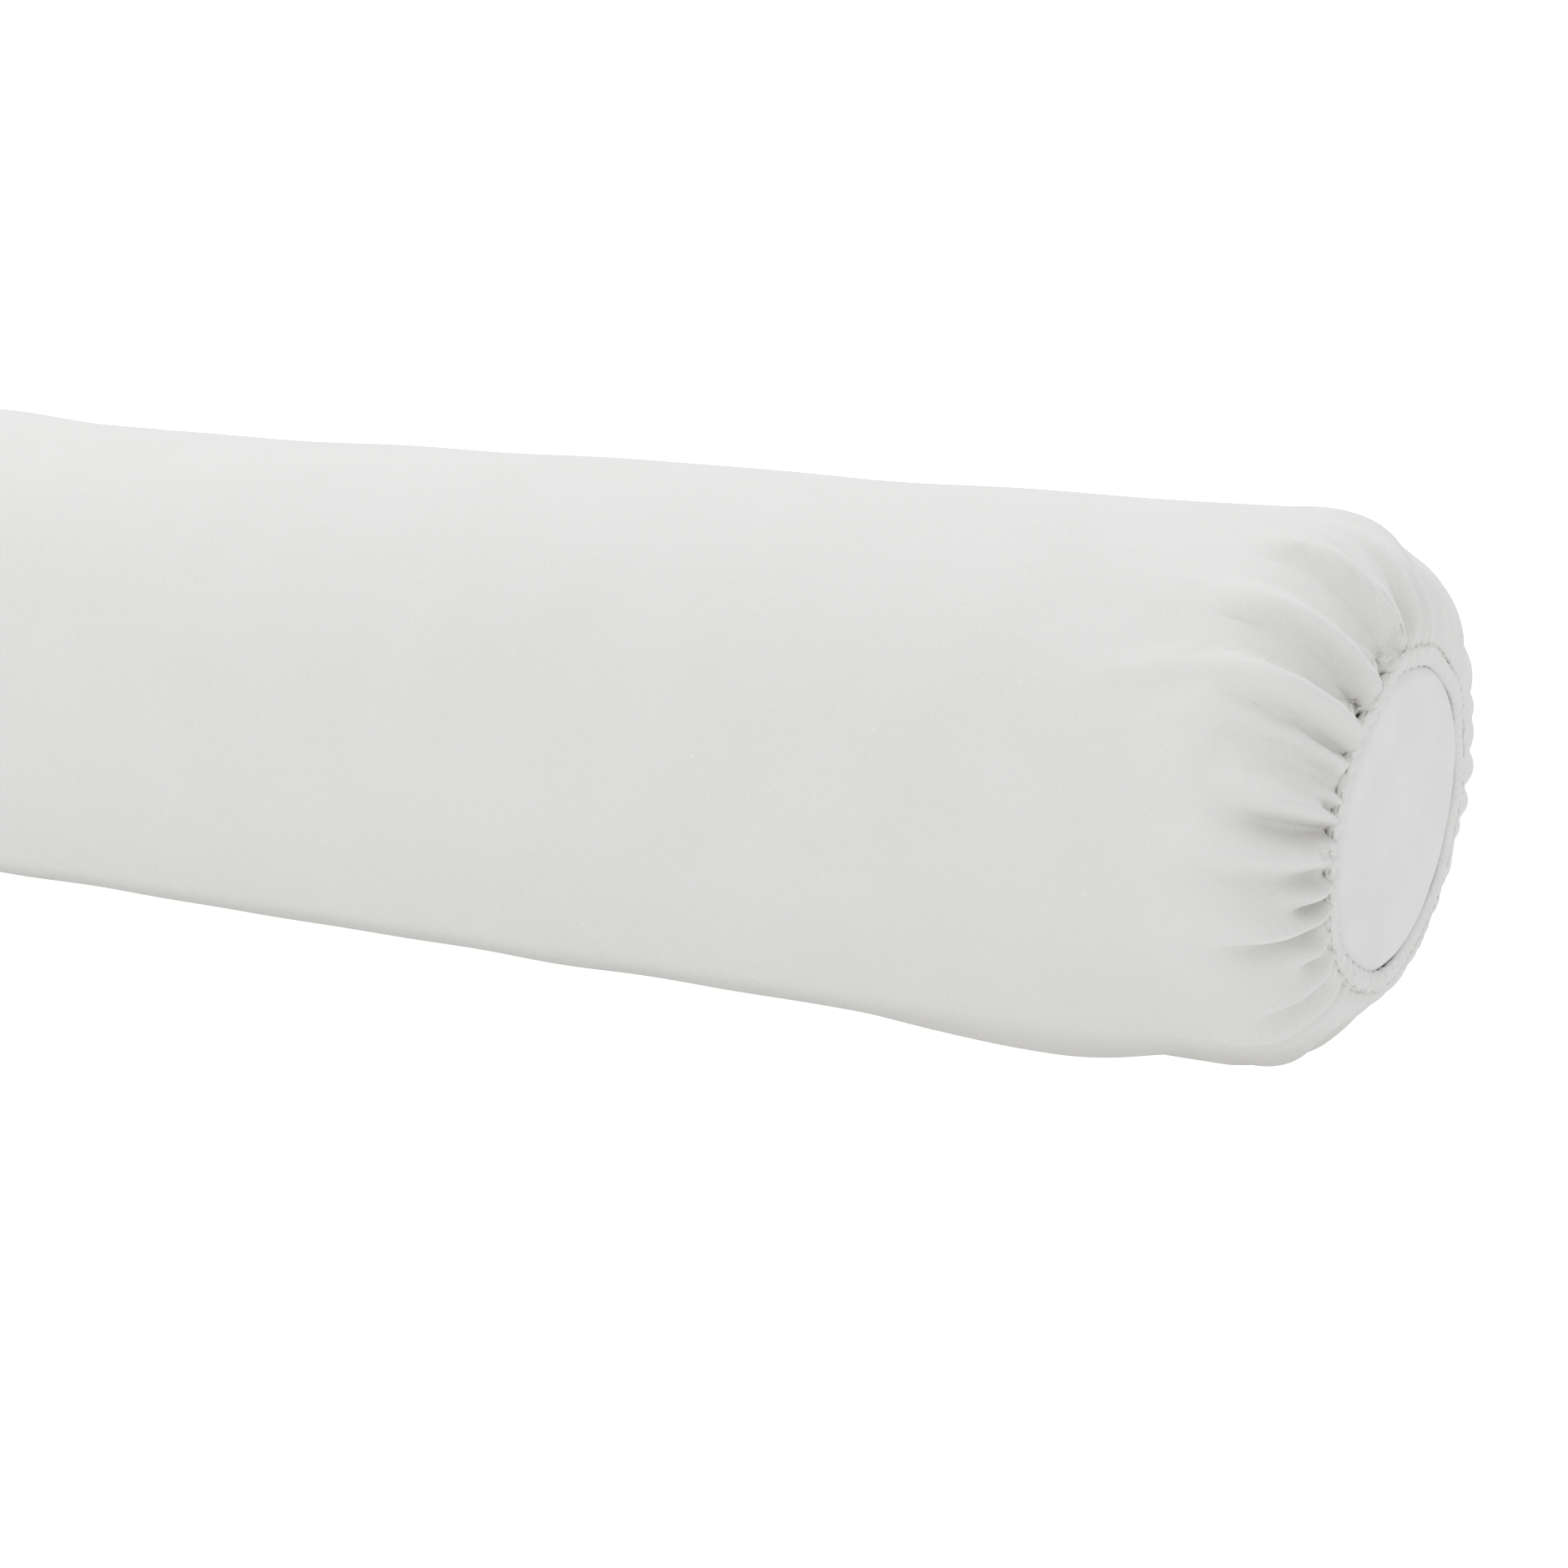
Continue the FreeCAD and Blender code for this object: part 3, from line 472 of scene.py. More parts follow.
def gathered_end(x, r, angles, from_hem):
    """Points of the right end with its gathers, its low and tilted opening, and its tuck underneath."""
    along_x, along_r = np.gradient(x, axis=0), np.gradient(r, axis=0)
    size = np.hypot(along_x, along_r)
    height = gathers(angles, from_hem)
    x = x - along_r / size * height
    r = r + along_x / size * height
    drop = OPENING_DROP * (1 - smooth(from_hem, 0, OPENING_DROP_REACH))
    x = x + hem_lean(angles, r) * (1 - smooth(from_hem, *OPENING_TILT_EASE))
    under = 1 - smooth(np.abs(angles - UNDER_TUCK_PLACE), math.radians(20), math.radians(75))
    tucked = smooth(from_hem, *UNDER_TUCK_RISE) * (1 - smooth(from_hem, *UNDER_TUCK_FALL))
    return to_points(x - UNDER_TUCK * under * tucked, r, angles, drop)


def keep_off_roll(points):
    """Moves points of the right end that are too near the roll's skin straight out of it."""
    x, y, z = points[..., 0], points[..., 1], points[..., 2] - AXIS
    radius = np.hypot(y, z)
    near_end = smooth(x, LEAN_START, SKIN_END)
    upright = x - near_end * hem_lean(np.arctan2(y, -z), radius)
    beyond = np.maximum(upright - TUBE_END, 0)
    outside = np.maximum(radius - FACE_RADIUS, ROUNDING * MM)
    distance = np.hypot(beyond, outside)
    push = np.maximum(SKIN_SHOULDER + ROLL_ROOM - distance, 0) * (radius > GATHER_RADIUS + 2 * MM)
    moved = points.copy()
    moved[..., 0] += push * beyond / distance
    moved[..., 1] += push * outside / distance * y / radius
    moved[..., 2] += push * outside / distance * z / radius
    return moved


def to_points(x, r, angles, drop):
    """Rows of x, y, z from axial place, radius, angle and how far the row's centre is below the axis."""
    return np.stack((x, r * np.sin(angles), AXIS - drop - r * np.cos(angles)), axis=-1)


def relax(start, rest):
    """Settles the gathered cloth over the roll by cloth simulation. Its first rows and its hem are held."""
    rows, columns, _ = start.shape
    points = start.reshape(-1, 3) * SIMULATION_SCALE
    cloth = add_mesh("cloth_being_relaxed", points, grid_faces(rows, columns))
    cloth.shape_key_add(name="start")
    flat = cloth.shape_key_add(name="flat")
    flat.data.foreach_set("co", (rest * SIMULATION_SCALE).ravel())
    held = cloth.vertex_groups.new(name="held")
    first = list(range(FIXED_ROWS * columns))
    last = list(range((rows - FIXED_ROWS) * columns, rows * columns))
    held.add(first + last, 1.0, "REPLACE")
    roller = add_roll_in_the_way()
    add_cloth_modifier(cloth, flat, held)
    for number in range(1, SIMULATION_FRAMES + 1):
        SCENE.frame_set(number)
    apply_modifiers(cloth)
    settled = coordinates(cloth).reshape(start.shape) / SIMULATION_SCALE
    bpy.data.objects.remove(cloth)
    bpy.data.objects.remove(roller)
    SCENE.frame_set(1)
    return settled


def add_roll_in_the_way():
    """The roll, at the simulation's scale, for the cloth to settle on."""
    x, r, theta = inner_surface(0, 96)
    outline = skin_points(x, r, theta).reshape(-1, 3) * SIMULATION_SCALE
    roller = add_mesh("roll_in_the_way", outline, closed_faces(*x.shape))
    outward_normals(roller)
    bump = roller.modifiers.new("Collision", "COLLISION")
    bump.settings.thickness_outer = 0.5 * MM * SIMULATION_SCALE
    bump.settings.cloth_friction = 8
    return roller


def add_cloth_modifier(cloth, flat, held):
    """Cloth that wants its flat shape back, without gravity, with the held points pinned."""
    modifier = cloth.modifiers.new("Cloth", "CLOTH")
    settings = modifier.settings
    settings.quality = 6
    settings.tension_stiffness = 12
    settings.compression_stiffness = 12
    settings.shear_stiffness = 3
    settings.bending_stiffness = 0.6
    settings.tension_damping = 8
    settings.compression_damping = 8
    settings.air_damping = 3
    settings.vertex_group_mass = held.name
    settings.pin_stiffness = 1
    settings.rest_shape_key = flat
    settings.effector_weights.gravity = 0
    modifier.collision_settings.collision_quality = 3
    modifier.collision_settings.distance_min = 0.8 * MM * SIMULATION_SCALE
    modifier.collision_settings.use_self_collision = False


def make_cover(material):
    """The cover's cloth as one shell: the middle, and the relaxed end at both sides."""
    angles = even_angles()
    right = end_surface(angles)
    left = right[:, (-np.arange(COLUMNS)) % COLUMNS, :] * np.array([-1, -1, 1])
    middle = middle_surface(angles, left[0], right[0])
    whole = press_seam(np.concatenate((left[:0:-1], middle, right[1:])), angles)
    whole[..., 2] = np.maximum(whole[..., 2], TABLE_GAP)
    cover = add_mesh("cover_cloth", whole.reshape(-1, 3), grid_faces(len(whole), COLUMNS), material)
    flip_if_inside_out(cover)
    thicken(cover, CLOTH)
    stand_in(cover, "cover", "cover_tube")
    return cover


def middle_surface(angles, left_edge, right_edge):
    """The cover between its ends, eased into the edge of each."""
    rows = int(round(2 * END_START / MIDDLE_ROW_SPACING)) + 1
    places = np.linspace(-END_START, END_START, rows)
    x = places[:, None] * np.ones((1, COLUMNS))
    middle = to_points(x, body_radius(angles[None, :], x), angles[None, :], np.zeros_like(x))
    near_left = (1 - smooth(places, -END_START, -END_START + MIDDLE_BLEND))[:, None, None]
    middle = middle + (left_edge - middle[0])[None] * near_left
    near_right = smooth(places, END_START - MIDDLE_BLEND, END_START)[:, None, None]
    return middle + (right_edge - middle[-1])[None] * near_right


def press_seam(points, angles):
    """Draws the cloth in along the long seam, with a small pucker at every few stitches."""
    x = points[..., 0]
    away = np.abs(angles - SEAM_TURN) * COVER_RADIUS
    fade = 1 - smooth(np.abs(x), SEAM_HALF_LENGTH - 8 * MM, SEAM_HALF_LENGTH)
    groove = np.exp(-((away / (1.5 * MM)) ** 2))[None, :] * fade
    pucker = np.exp(-((away / (7 * MM)) ** 2))[None, :] * np.sin(420 * x + 1.2 * np.sin(60 * x)) * (fade > 0)
    shrink = 1 - (0.6 * groove - 0.14 * pucker) * MM / COVER_RADIUS
    drawn = points.copy()
    drawn[..., 1] *= shrink
    drawn[..., 2] = AXIS + (points[..., 2] - AXIS) * shrink
    return drawn


def flip_if_inside_out(obj):
    """Turns the faces round if the one half way through the mesh looks towards the axis."""
    mesh = obj.data
    face = mesh.polygons[len(mesh.polygons) // 2]
    outward = Vector((0, face.center.y, face.center.z - AXIS))
    if face.normal.dot(outward) < 0:
        mesh.flip_normals()


# ---- hems


def casing_point(theta, turn, inset=0.0):
    """A point on the gathered casing of the right end. Turn goes round its section: 0 is its outer rim and 90
    degrees its face. Inset shrinks the section, and takes the ribs away with it."""
    puff = hem_ribs(theta) * (1 - 0.5 * behind(theta)) * (inset == 0)
    sway = 0.35 * MM * np.sin(6 * theta + 1.0) + 0.25 * MM * np.sin(11 * theta + 2.0)
    half_radial = CASING_HALF_WIDTH + 0.9 * MM * puff - inset
    half_axial = CASING_HALF_DEPTH + 1.2 * MM * puff - inset
    radius = CASING_RADIUS + sway + half_radial * np.cos(turn)
    weave = 0.3 * MM * np.sin(9 * theta)
    x = CASING_MIDDLE + half_axial * np.sin(turn) + weave + hem_lean(theta, radius)
    return to_points(x, radius, theta, OPENING_DROP)


def turn_to_side(points, side):
    """The same points at the other end: half a turn about the vertical."""
    return points * np.array([side, side, 1])


def ring_mesh(name, rings, material):
    """A closed ring from a stack of rings of points that go round its section."""
    around = rings.shape[1]
    count = rings.shape[0] * around
    faces = [tuple(i % count for i in face) for face in grid_faces(rings.shape[0] + 1, around)]
    ring = add_mesh(name, rings.reshape(-1, 3), faces, material)
    outward_normals(ring)
    return ring


def make_hem(side, name, cloth, elastic, thread):
    """The gathered casing round one opening, the elastic inside it, and the stitching that closes it."""
    casing_turns = np.linspace(0, 2 * math.pi, 20, endpoint=False)
    casing = ring_mesh(f"hem_casing_{name}_cloth", casing_rings(casing_turns, 920, side), cloth)
    stand_in(casing, "cover", f"hem_casing_{name}")

    band_turns = [0.0, 0.35, math.pi - 0.35, math.pi, math.pi + 0.35, -0.35]
    band = ring_mesh(f"hem_elastic_{name}_band", casing_rings(band_turns, 360, side, ELASTIC_INSET), elastic)
    stand_in(band, "cover", f"hem_elastic_{name}")

    places = np.linspace(-math.pi, math.pi, HEM_STITCHES, endpoint=False)
    starts = [casing_point(a, HEM_STITCH_TURN) for a in places]
    finishes = [casing_point(a + HEM_STITCH_SPAN, HEM_STITCH_TURN) for a in places]
    ends = [(turn_to_side(a, side), turn_to_side(b, side)) for a, b in zip(starts, finishes)]
    stitches = add_stitches(f"hem_stitching_{name}_thread", ends, thread)
    stand_in(stitches, "cover", f"hem_stitching_{name}")
    return [casing, band, stitches]


def casing_rings(turns, columns, side, inset=0.0):
    """Rings of points round the hem, one for each turn about the casing's section."""
    theta = np.linspace(-math.pi, math.pi, columns, endpoint=False)
    return turn_to_side(np.stack([casing_point(theta, turn, inset) for turn in turns]), side)


def add_stitches(name, ends, material, thickness=0.28 * MM):
    """Short arched lengths of thread between pairs of points, as one mesh."""
    sides, rings = 6, 5
    points, faces = [], []
    for a, b in ends:
        a, b = Vector(a), Vector(b)
        run = (b - a).normalized()
        across = run.orthogonal().normalized()
        other = run.cross(across)
        base = len(points)
        for i in range(rings):
            share = i / (rings - 1)
            size = thickness * (0.55 + 0.45 * math.sin(math.pi * share))
            middle = a.lerp(b, share)
            for j in range(sides):
                angle = 2 * math.pi * j / sides
                points.append(middle + size * (math.cos(angle) * across + math.sin(angle) * other))
        ring_faces = grid_faces(rings, sides)
        faces += [tuple(base + k for k in face) for face in ring_faces]
        faces.append(tuple(base + k for k in range(sides)))
        faces.append(tuple(base + (rings - 1) * sides + k for k in reversed(range(sides))))
    stitches = add_mesh(name, points, faces, material)
    outward_normals(stitches)
    return stitches


# ---- the roll's skin


def skin_points(x, radius, theta, depth=0.0):
    """Points of the soft roll: round, leaning with the cover's end, and flat where the roll rests, at a depth
    below the skin."""
    near_end = smooth(np.abs(x), LEAN_START, SKIN_END)
    side = np.sign(x)
    seen_from_right = theta * side
    x = x + side * near_end * hem_lean(seen_from_right, radius)
    points = to_points(x, radius, theta, np.zeros_like(x))
    floor = SKIN_LOW.z + depth
    points[..., 2] = floor + soft_floor(points[..., 2] - floor, 1.5 * MM)
    return points


def soft_floor(height, rounding):
    """Height held above 0, with a soft turn."""
    return 0.5 * (height + np.sqrt(height**2 + rounding**2))


def skin_radius(theta, x):
    """The skin tube: slow dents, a lip along the zip, and a pull-in at both end seams."""
    distance = np.abs(wrap(theta - ZIP_TURN)) * SKIN_RADIUS - SLOT_HALF_WIDTH
    lip = 0.35 * np.exp(-((distance / (1.6 * MM)) ** 2))
    lip -= 0.3 * np.exp(-(((distance - 2.6 * MM) / (1.2 * MM)) ** 2))
    lip *= 1 - smooth(np.abs(x), SLOT_HALF_LENGTH, SLOT_HALF_LENGTH + 6 * MM)
    from_seam = SKIN_SEAM - np.abs(x)
    pucker = 0.3 * np.cos(34 * theta + 2 * np.sin(3 * theta)) * np.exp(-from_seam / (7 * MM))
    return tube_outline(x) + (add_waves(SKIN_DENTS, theta, x) + lip + pucker) * MM - seam_dip(from_seam)


def tube_outline(x):
    """Radius of the undisturbed skin at a place along the roll."""
    over = np.maximum(np.abs(x) - TUBE_END, 0)
    return FACE_RADIUS + np.sqrt(np.maximum(SKIN_SHOULDER**2 - over**2, 0))


def seam_dip(distance):
    """How far a seam pulls the skin in, at a distance from it."""
    return 0.9 * MM * np.exp(-((distance / (1.8 * MM)) ** 2))


def tube_angles(slot_half):
    """Angles round the skin tube, closer together beside the zip's slot."""
    around = np.linspace(ZIP_TURN + slot_half, ZIP_TURN - slot_half + 2 * math.pi, 300)
    fine = np.array([0.4, 0.9, 1.5, 2.2]) * MM / SKIN_RADIUS
    inside = np.linspace(ZIP_TURN - slot_half, ZIP_TURN + slot_half, 6)[1:-1] + 2 * math.pi
    return wrap(np.sort(np.concatenate((around, around[0] + fine, around[-1] - fine, inside))))


def tube_places():
    """Places along the skin tube, from seam to seam, with one at each end of the zip's slot."""
    slot = np.linspace(0, SLOT_HALF_LENGTH, 84)[1:-1]
    beyond = np.linspace(SLOT_HALF_LENGTH, TUBE_END, 18)[:-1]
    shoulder = np.linspace(TUBE_END, SKIN_SEAM - 0.4 * MM, 16)
    half = np.concatenate((slot, beyond, shoulder))
    return np.concatenate((-half[::-1], [0], half))


def make_skin_tube(material):
    """The tube of the skin, with the slot for the zip cut out of it."""
    slot_half = SLOT_HALF_WIDTH / SKIN_RADIUS
    x, theta = np.meshgrid(tube_places(), tube_angles(slot_half), indexing="ij")
    points = skin_points(x, skin_radius(theta, x), theta)
    in_slot = (np.abs(wrap(theta - ZIP_TURN)) < slot_half - ROUNDING).ravel()
    along = np.abs(x).ravel()
    faces = []
    for face in grid_faces(*x.shape):
        over_slot = any(in_slot[i] for i in face)
        if not (over_slot and max(along[i] for i in face) < SLOT_HALF_LENGTH + ROUNDING):
            faces.append(face)
    tube = add_mesh("skin_tube", points.reshape(-1, 3), faces, material)
    remove_loose_points(tube)
    flip_if_inside_out(tube)
    thicken(tube, SKIN_SHEET)
    stand_in(tube, "roll", "skin_tube_panel")


def remove_loose_points(obj):
    """Removes the points that no face uses."""
    work = bmesh.new()
    work.from_mesh(obj.data)
    bmesh.ops.delete(work, geom=[v for v in work.verts if not v.link_faces], context="VERTS")
    work.to_mesh(obj.data)
    work.free()


def spin(x, r, columns):
    """A profile turned about the axis: grids of axial place, radius and angle."""
    theta = np.linspace(-math.pi, math.pi, columns, endpoint=False)
    grid_x, grid_theta = np.meshgrid(x, theta, indexing="ij")
    return grid_x, np.meshgrid(r, theta, indexing="ij")[0], grid_theta


def panel_profile():
    """Axial place and radius of the end panel, from its seam to its middle."""
    seam_turn = math.acos((tube_outline(SKIN_SEAM) - FACE_RADIUS) / SKIN_SHOULDER)
    turn = np.linspace(seam_turn + 0.02, math.pi / 2, 22)
    face = np.linspace(FACE_RADIUS, PANEL_MIDDLE, 24)[1:]
    x = TUBE_END + SKIN_SHOULDER * np.sin(turn)
    r = FACE_RADIUS + SKIN_SHOULDER * np.cos(turn)
    return np.concatenate((x, np.full(len(face), SKIN_END))), np.concatenate((r, face))


def make_end_panel(side, name, material):
    """One domed end of the skin, from the seam to its middle, gently puckered where it is sewn in."""
    x, r, theta = spin(*panel_profile(), 300)
    from_opening = np.sqrt(r**2 + OPENING_DROP**2 - 2 * r * OPENING_DROP * np.cos(theta))
    dome = END_DOME * (1 - smooth(from_opening, 38 * MM, 44.5 * MM))
    from_seam = np.maximum(tube_outline(SKIN_SEAM) - r, 0)
    pucker = 0.3 * MM * np.cos(34 * theta) * np.exp(-from_seam / (7 * MM))
    slow = 0.25 * MM * np.sin(3 * theta + 40 * r) * smooth(r, 0, 30 * MM)
    x = x + dome + slow - 0.5 * seam_dip(from_seam)
    r = r + pucker - 0.7 * seam_dip(from_seam)
    points = turn_to_side(skin_points(x, r, theta), side)
    rows, columns = x.shape
    faces = grid_faces(rows, columns)
    faces.append(tuple((rows - 1) * columns + j for j in range(columns)))
    panel = add_mesh(f"skin_end_{name}", points.reshape(-1, 3), faces, material)
    outward_normals(panel)
    if panel.data.polygons[-1].normal.x * side < 0:
        panel.data.flip_normals()
    thicken(panel, SKIN_SHEET)
    stand_in(panel, "roll", f"skin_end_panel_{name}")


def make_end_stitching(side, name, material):
    """The thread of one end seam, in the panel just inside the seam."""
    place = SKIN_SEAM + 2.6 * MM
    radius = float(tube_outline(place)) + 0.12 * MM
    step = 2 * math.pi / END_STITCHES
    ends = []
    for i in range(END_STITCHES):
        theta = np.array([i * step - math.pi, i * step - math.pi + 0.66 * step])
        points = skin_points(np.full(2, place), np.full(2, radius), theta)
        ends.append(tuple(turn_to_side(points, side)))
    stitches = add_stitches(f"end_seam_thread_{name}", ends, material, 0.25 * MM)
    stand_in(stitches, "roll", f"end_seam_stitching_{name}")


def inner_surface(depth, columns):
    """A closed surface at a depth below the skin: rows of axial place, radius and angle, end to end."""
    shoulder = SKIN_SHOULDER - depth
    turn = np.linspace(0, math.pi / 2, 12)
    tube = np.linspace(0, TUBE_END, 100)[:-1]
    face = np.linspace(FACE_RADIUS, PANEL_MIDDLE, 7)[1:]
    x = np.concatenate((tube, TUBE_END + shoulder * np.sin(turn), np.full(len(face), SKIN_END - depth)))
    r = np.concatenate((np.full(len(tube), SKIN_RADIUS - depth), FACE_RADIUS + shoulder * np.cos(turn), face))
    return spin(np.concatenate((-x[:0:-1], x)), np.concatenate((r[:0:-1], r)), columns)


def press_channel(x, r, theta):
    """The radius with room pressed in for the zip's tapes and slider."""
    away = np.abs(wrap(theta - ZIP_TURN))
    share = 1 - smooth(away * SKIN_RADIUS, 13.5 * MM, 15.5 * MM)
    share = share * (1 - smooth(np.abs(x), SLOT_HALF_LENGTH + 4 * MM, SLOT_HALF_LENGTH + 10 * MM))
    bottom = (SKIN_RADIUS - CHANNEL_DEPTH) / np.maximum(np.cos(away), 0.5)
    return np.minimum(r, r * (1 - share) + bottom * share)


def closed_faces(rows, columns, base=0, inward=False):
    """Faces of a closed surface of rings, with a many-sided face at each end."""
    faces = grid_faces(rows, columns)
    faces.append(tuple(reversed(range(columns))))
    faces.append(tuple((rows - 1) * columns + j for j in range(columns)))
    if inward:
        faces = [tuple(reversed(face)) for face in faces]
    return [tuple(base + i for i in face) for face in faces]


def make_foam(material):
    """The foam roll, as one closed body."""
    x, r, theta = inner_surface(FOAM_DEPTH, 120)
    pitted = r + 0.15 * MM * np.sin(31 * theta + 200 * x)
    points = skin_points(x, pitted, theta, FOAM_DEPTH)
    foam = add_mesh("foam_roll", points.reshape(-1, 3), closed_faces(*x.shape), material)
    outward_normals(foam)
    stand_in(foam, "roll", "foam_core")


def make_wadding(material):
    """The fibre wadding: an outer surface with a channel for the zip, and an inner one next to the foam."""
    x, r, theta = inner_surface(WADDING_DEPTH, 240)
    lofty = r - 0.25 * MM * (1 + np.sin(23 * theta + 90 * x) * np.sin(60 * x + 2))
    outer = skin_points(x, press_channel(x, lofty, theta), theta, WADDING_DEPTH)
    lining = FOAM_DEPTH - 0.3 * MM
    inner = skin_points(*inner_surface(lining, 240), lining)
    faces = closed_faces(*x.shape) + closed_faces(*x.shape, base=x.size, inward=True)
    points = np.concatenate((outer.reshape(-1, 3), inner.reshape(-1, 3)))
    wadding = add_mesh("wadding_sleeve", points, faces, material)
    outward_normals(wadding)
    stand_in(wadding, "roll", "wadding_wrap")


# ---- the zip


def zip_point(along, up, out):
    """A point by the zip: along the roll, up round the roll from the zip's centre line, and out from the
    plane that touches the skin there."""
    y_up, z_up = math.cos(ZIP_TURN), -math.sin(ZIP_TURN)
    radius = SKIN_RADIUS + out
    y = radius * math.sin(ZIP_TURN) - up * y_up
    z = AXIS - radius * math.cos(ZIP_TURN) + up * z_up
    return Vector((along, y, z))


def make_zip_tape(sign, name, material):
    """One woven tape, with a corded inner edge and an outer edge that bends with the roll."""
    sections = []
    for x in np.linspace(-SLOT_HALF_LENGTH + 0.3 * MM, SLOT_HALF_LENGTH - 0.3 * MM, 260):
        ripple = 0.12 * math.sin(150 * x + sign) + 0.08 * math.sin(410 * x)
        heights = [out + ripple * float(smooth(up, 5, 11)) for up, out in TAPE_SECTION]
        places = [sign * up * MM for up, _ in TAPE_SECTION]
        sections.append([zip_point(x, up, out * MM) for up, out in zip(places, heights)])
    tape = ribbon_mesh(f"zip_tape_{name}_ribbon", sections, material)
    stand_in(tape, "roll", f"zip_tape_{name}")


def make_zip_stitching(material):
    """A row of stitches in the skin beside each edge of its slot."""
    turn = (SLOT_HALF_WIDTH + 2.5 * MM) / SKIN_RADIUS
    starts = np.arange(-240, 236, 4.8) * MM
    ends = []
    for theta in (ZIP_TURN - turn, ZIP_TURN + turn):
        for start in starts:
            x = np.array([start, start + 3.2 * MM])
            around = np.full(2, theta)
            ends.append(tuple(skin_points(x, skin_radius(around, x) + 0.12 * MM, around)))
    stitches = add_stitches("zip_stitching_thread", ends, material, 0.25 * MM)
    stand_in(stitches, "roll", "zip_stitching")


def soften_edges(node_name, width, segments):
    """Rounds a hard CAD node's edges for the picture, without touching its mesh."""
    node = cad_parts[node_name]
    weld = node.modifiers.new("weld", "WELD")
    weld.merge_threshold = 0.002 * MM
    bevel = node.modifiers.new("rounded edges", "BEVEL")
    bevel.width = width
    bevel.segments = segments
    bevel.limit_method = "ANGLE"
    bevel.harden_normals = True


# ---- node materials


SHADER_INPUTS = {
    "color": "Base Color",
    "rough": "Roughness",
    "metal": "Metallic",
    "normal": "Normal",
    "sheen": "Sheen Weight",
    "sheen_rough": "Sheen Roughness",
    "specular": "Specular IOR Level",
}


class Nodes:
    """A short way to write one material's node tree."""

    def __init__(self, name):
        self.material = bpy.data.materials.new(name)
        self.material.use_nodes = True
        self.tree = self.material.node_tree
        self.shader = self.tree.nodes["Principled BSDF"]
        self.place = self.add("ShaderNodeTexCoord").outputs["Object"]

    def add(self, kind, inputs=None, **settings):
        """A new node with its inputs fed and its settings set."""
        node = self.tree.nodes.new(kind)
        for key, value in settings.items():
            setattr(node, key, value)
        for key, value in (inputs or {}).items():
            self.feed(node.inputs[key], value)
        return node

    def feed(self, socket, value):
        """Links a socket's value, or sets a plain one."""
        if isinstance(value, bpy.types.NodeSocket):
            self.tree.links.new(value, socket)
        else:
            socket.default_value = value

    def noise(self, scale, detail=3, roughness=0.6, vector=None):
        """Cloudy noise, 0 to 1."""
        inputs = {"Vector": vector or self.place, "Scale": scale, "Detail": detail, "Roughness": roughness}
        return self.add("ShaderNodeTexNoise", inputs).outputs["Fac"]

    def wave(self, scale, direction, distortion=0):
        """Parallel bands."""
        inputs = {"Vector": self.place, "Scale": scale, "Distortion": distortion}
        return self.add("ShaderNodeTexWave", inputs, bands_direction=direction).outputs["Fac"]

    def cells(self, scale, vector=None, **settings):
        """Distance from the middle of the nearest cell."""
        inputs = {"Vector": vector or self.place, "Scale": scale}
        return self.add("ShaderNodeTexVoronoi", inputs, **settings).outputs["Distance"]

    def stretch(self, scale, rotation=(0, 0, 0)):
        """The object's own coordinates, scaled and turned."""
        node = self.add("ShaderNodeMapping", {"Vector": self.place, "Scale": scale, "Rotation": rotation})
        return node.outputs["Vector"]

    def combine(self, operation, a, b):
        """Arithmetic on two values."""
        return self.add("ShaderNodeMath", {0: a, 1: b}, operation=operation).outputs[0]

    def plus(self, a, b, share):
        """One value, and a share of another on top."""
        return self.combine("ADD", a, self.combine("MULTIPLY", b, share))

    def ramp(self, value, low, high, dark=0.0, bright=1.0):
        """An easy ramp from dark at low to bright at high."""
        inputs = {"Value": value, "From Min": low, "From Max": high, "To Min": dark, "To Max": bright}
        return self.add("ShaderNodeMapRange", inputs, interpolation_type="SMOOTHSTEP").outputs["Result"]

    def mix(self, share, first, second):
        """A colour between two."""
        node = self.add("ShaderNodeMix", {"Factor": share}, data_type="RGBA")
        self.feed(node.inputs["A"], first)
        self.feed(node.inputs["B"], second)
        return node.outputs["Result"]

    def bump(self, height, strength, distance):
        """A surface relief from a height."""
        inputs = {"Height": height, "Strength": strength, "Distance": distance}
        return self.add("ShaderNodeBump", inputs).outputs["Normal"]

    def surface(self, **inputs):
        """Feeds the shader, and gives the finished material."""
        for key, value in inputs.items():
            self.feed(self.shader.inputs[SHADER_INPUTS[key]], value)
        return self.material


def rgb(r, g, b):
    """An opaque colour."""
    return (r, g, b, 1)


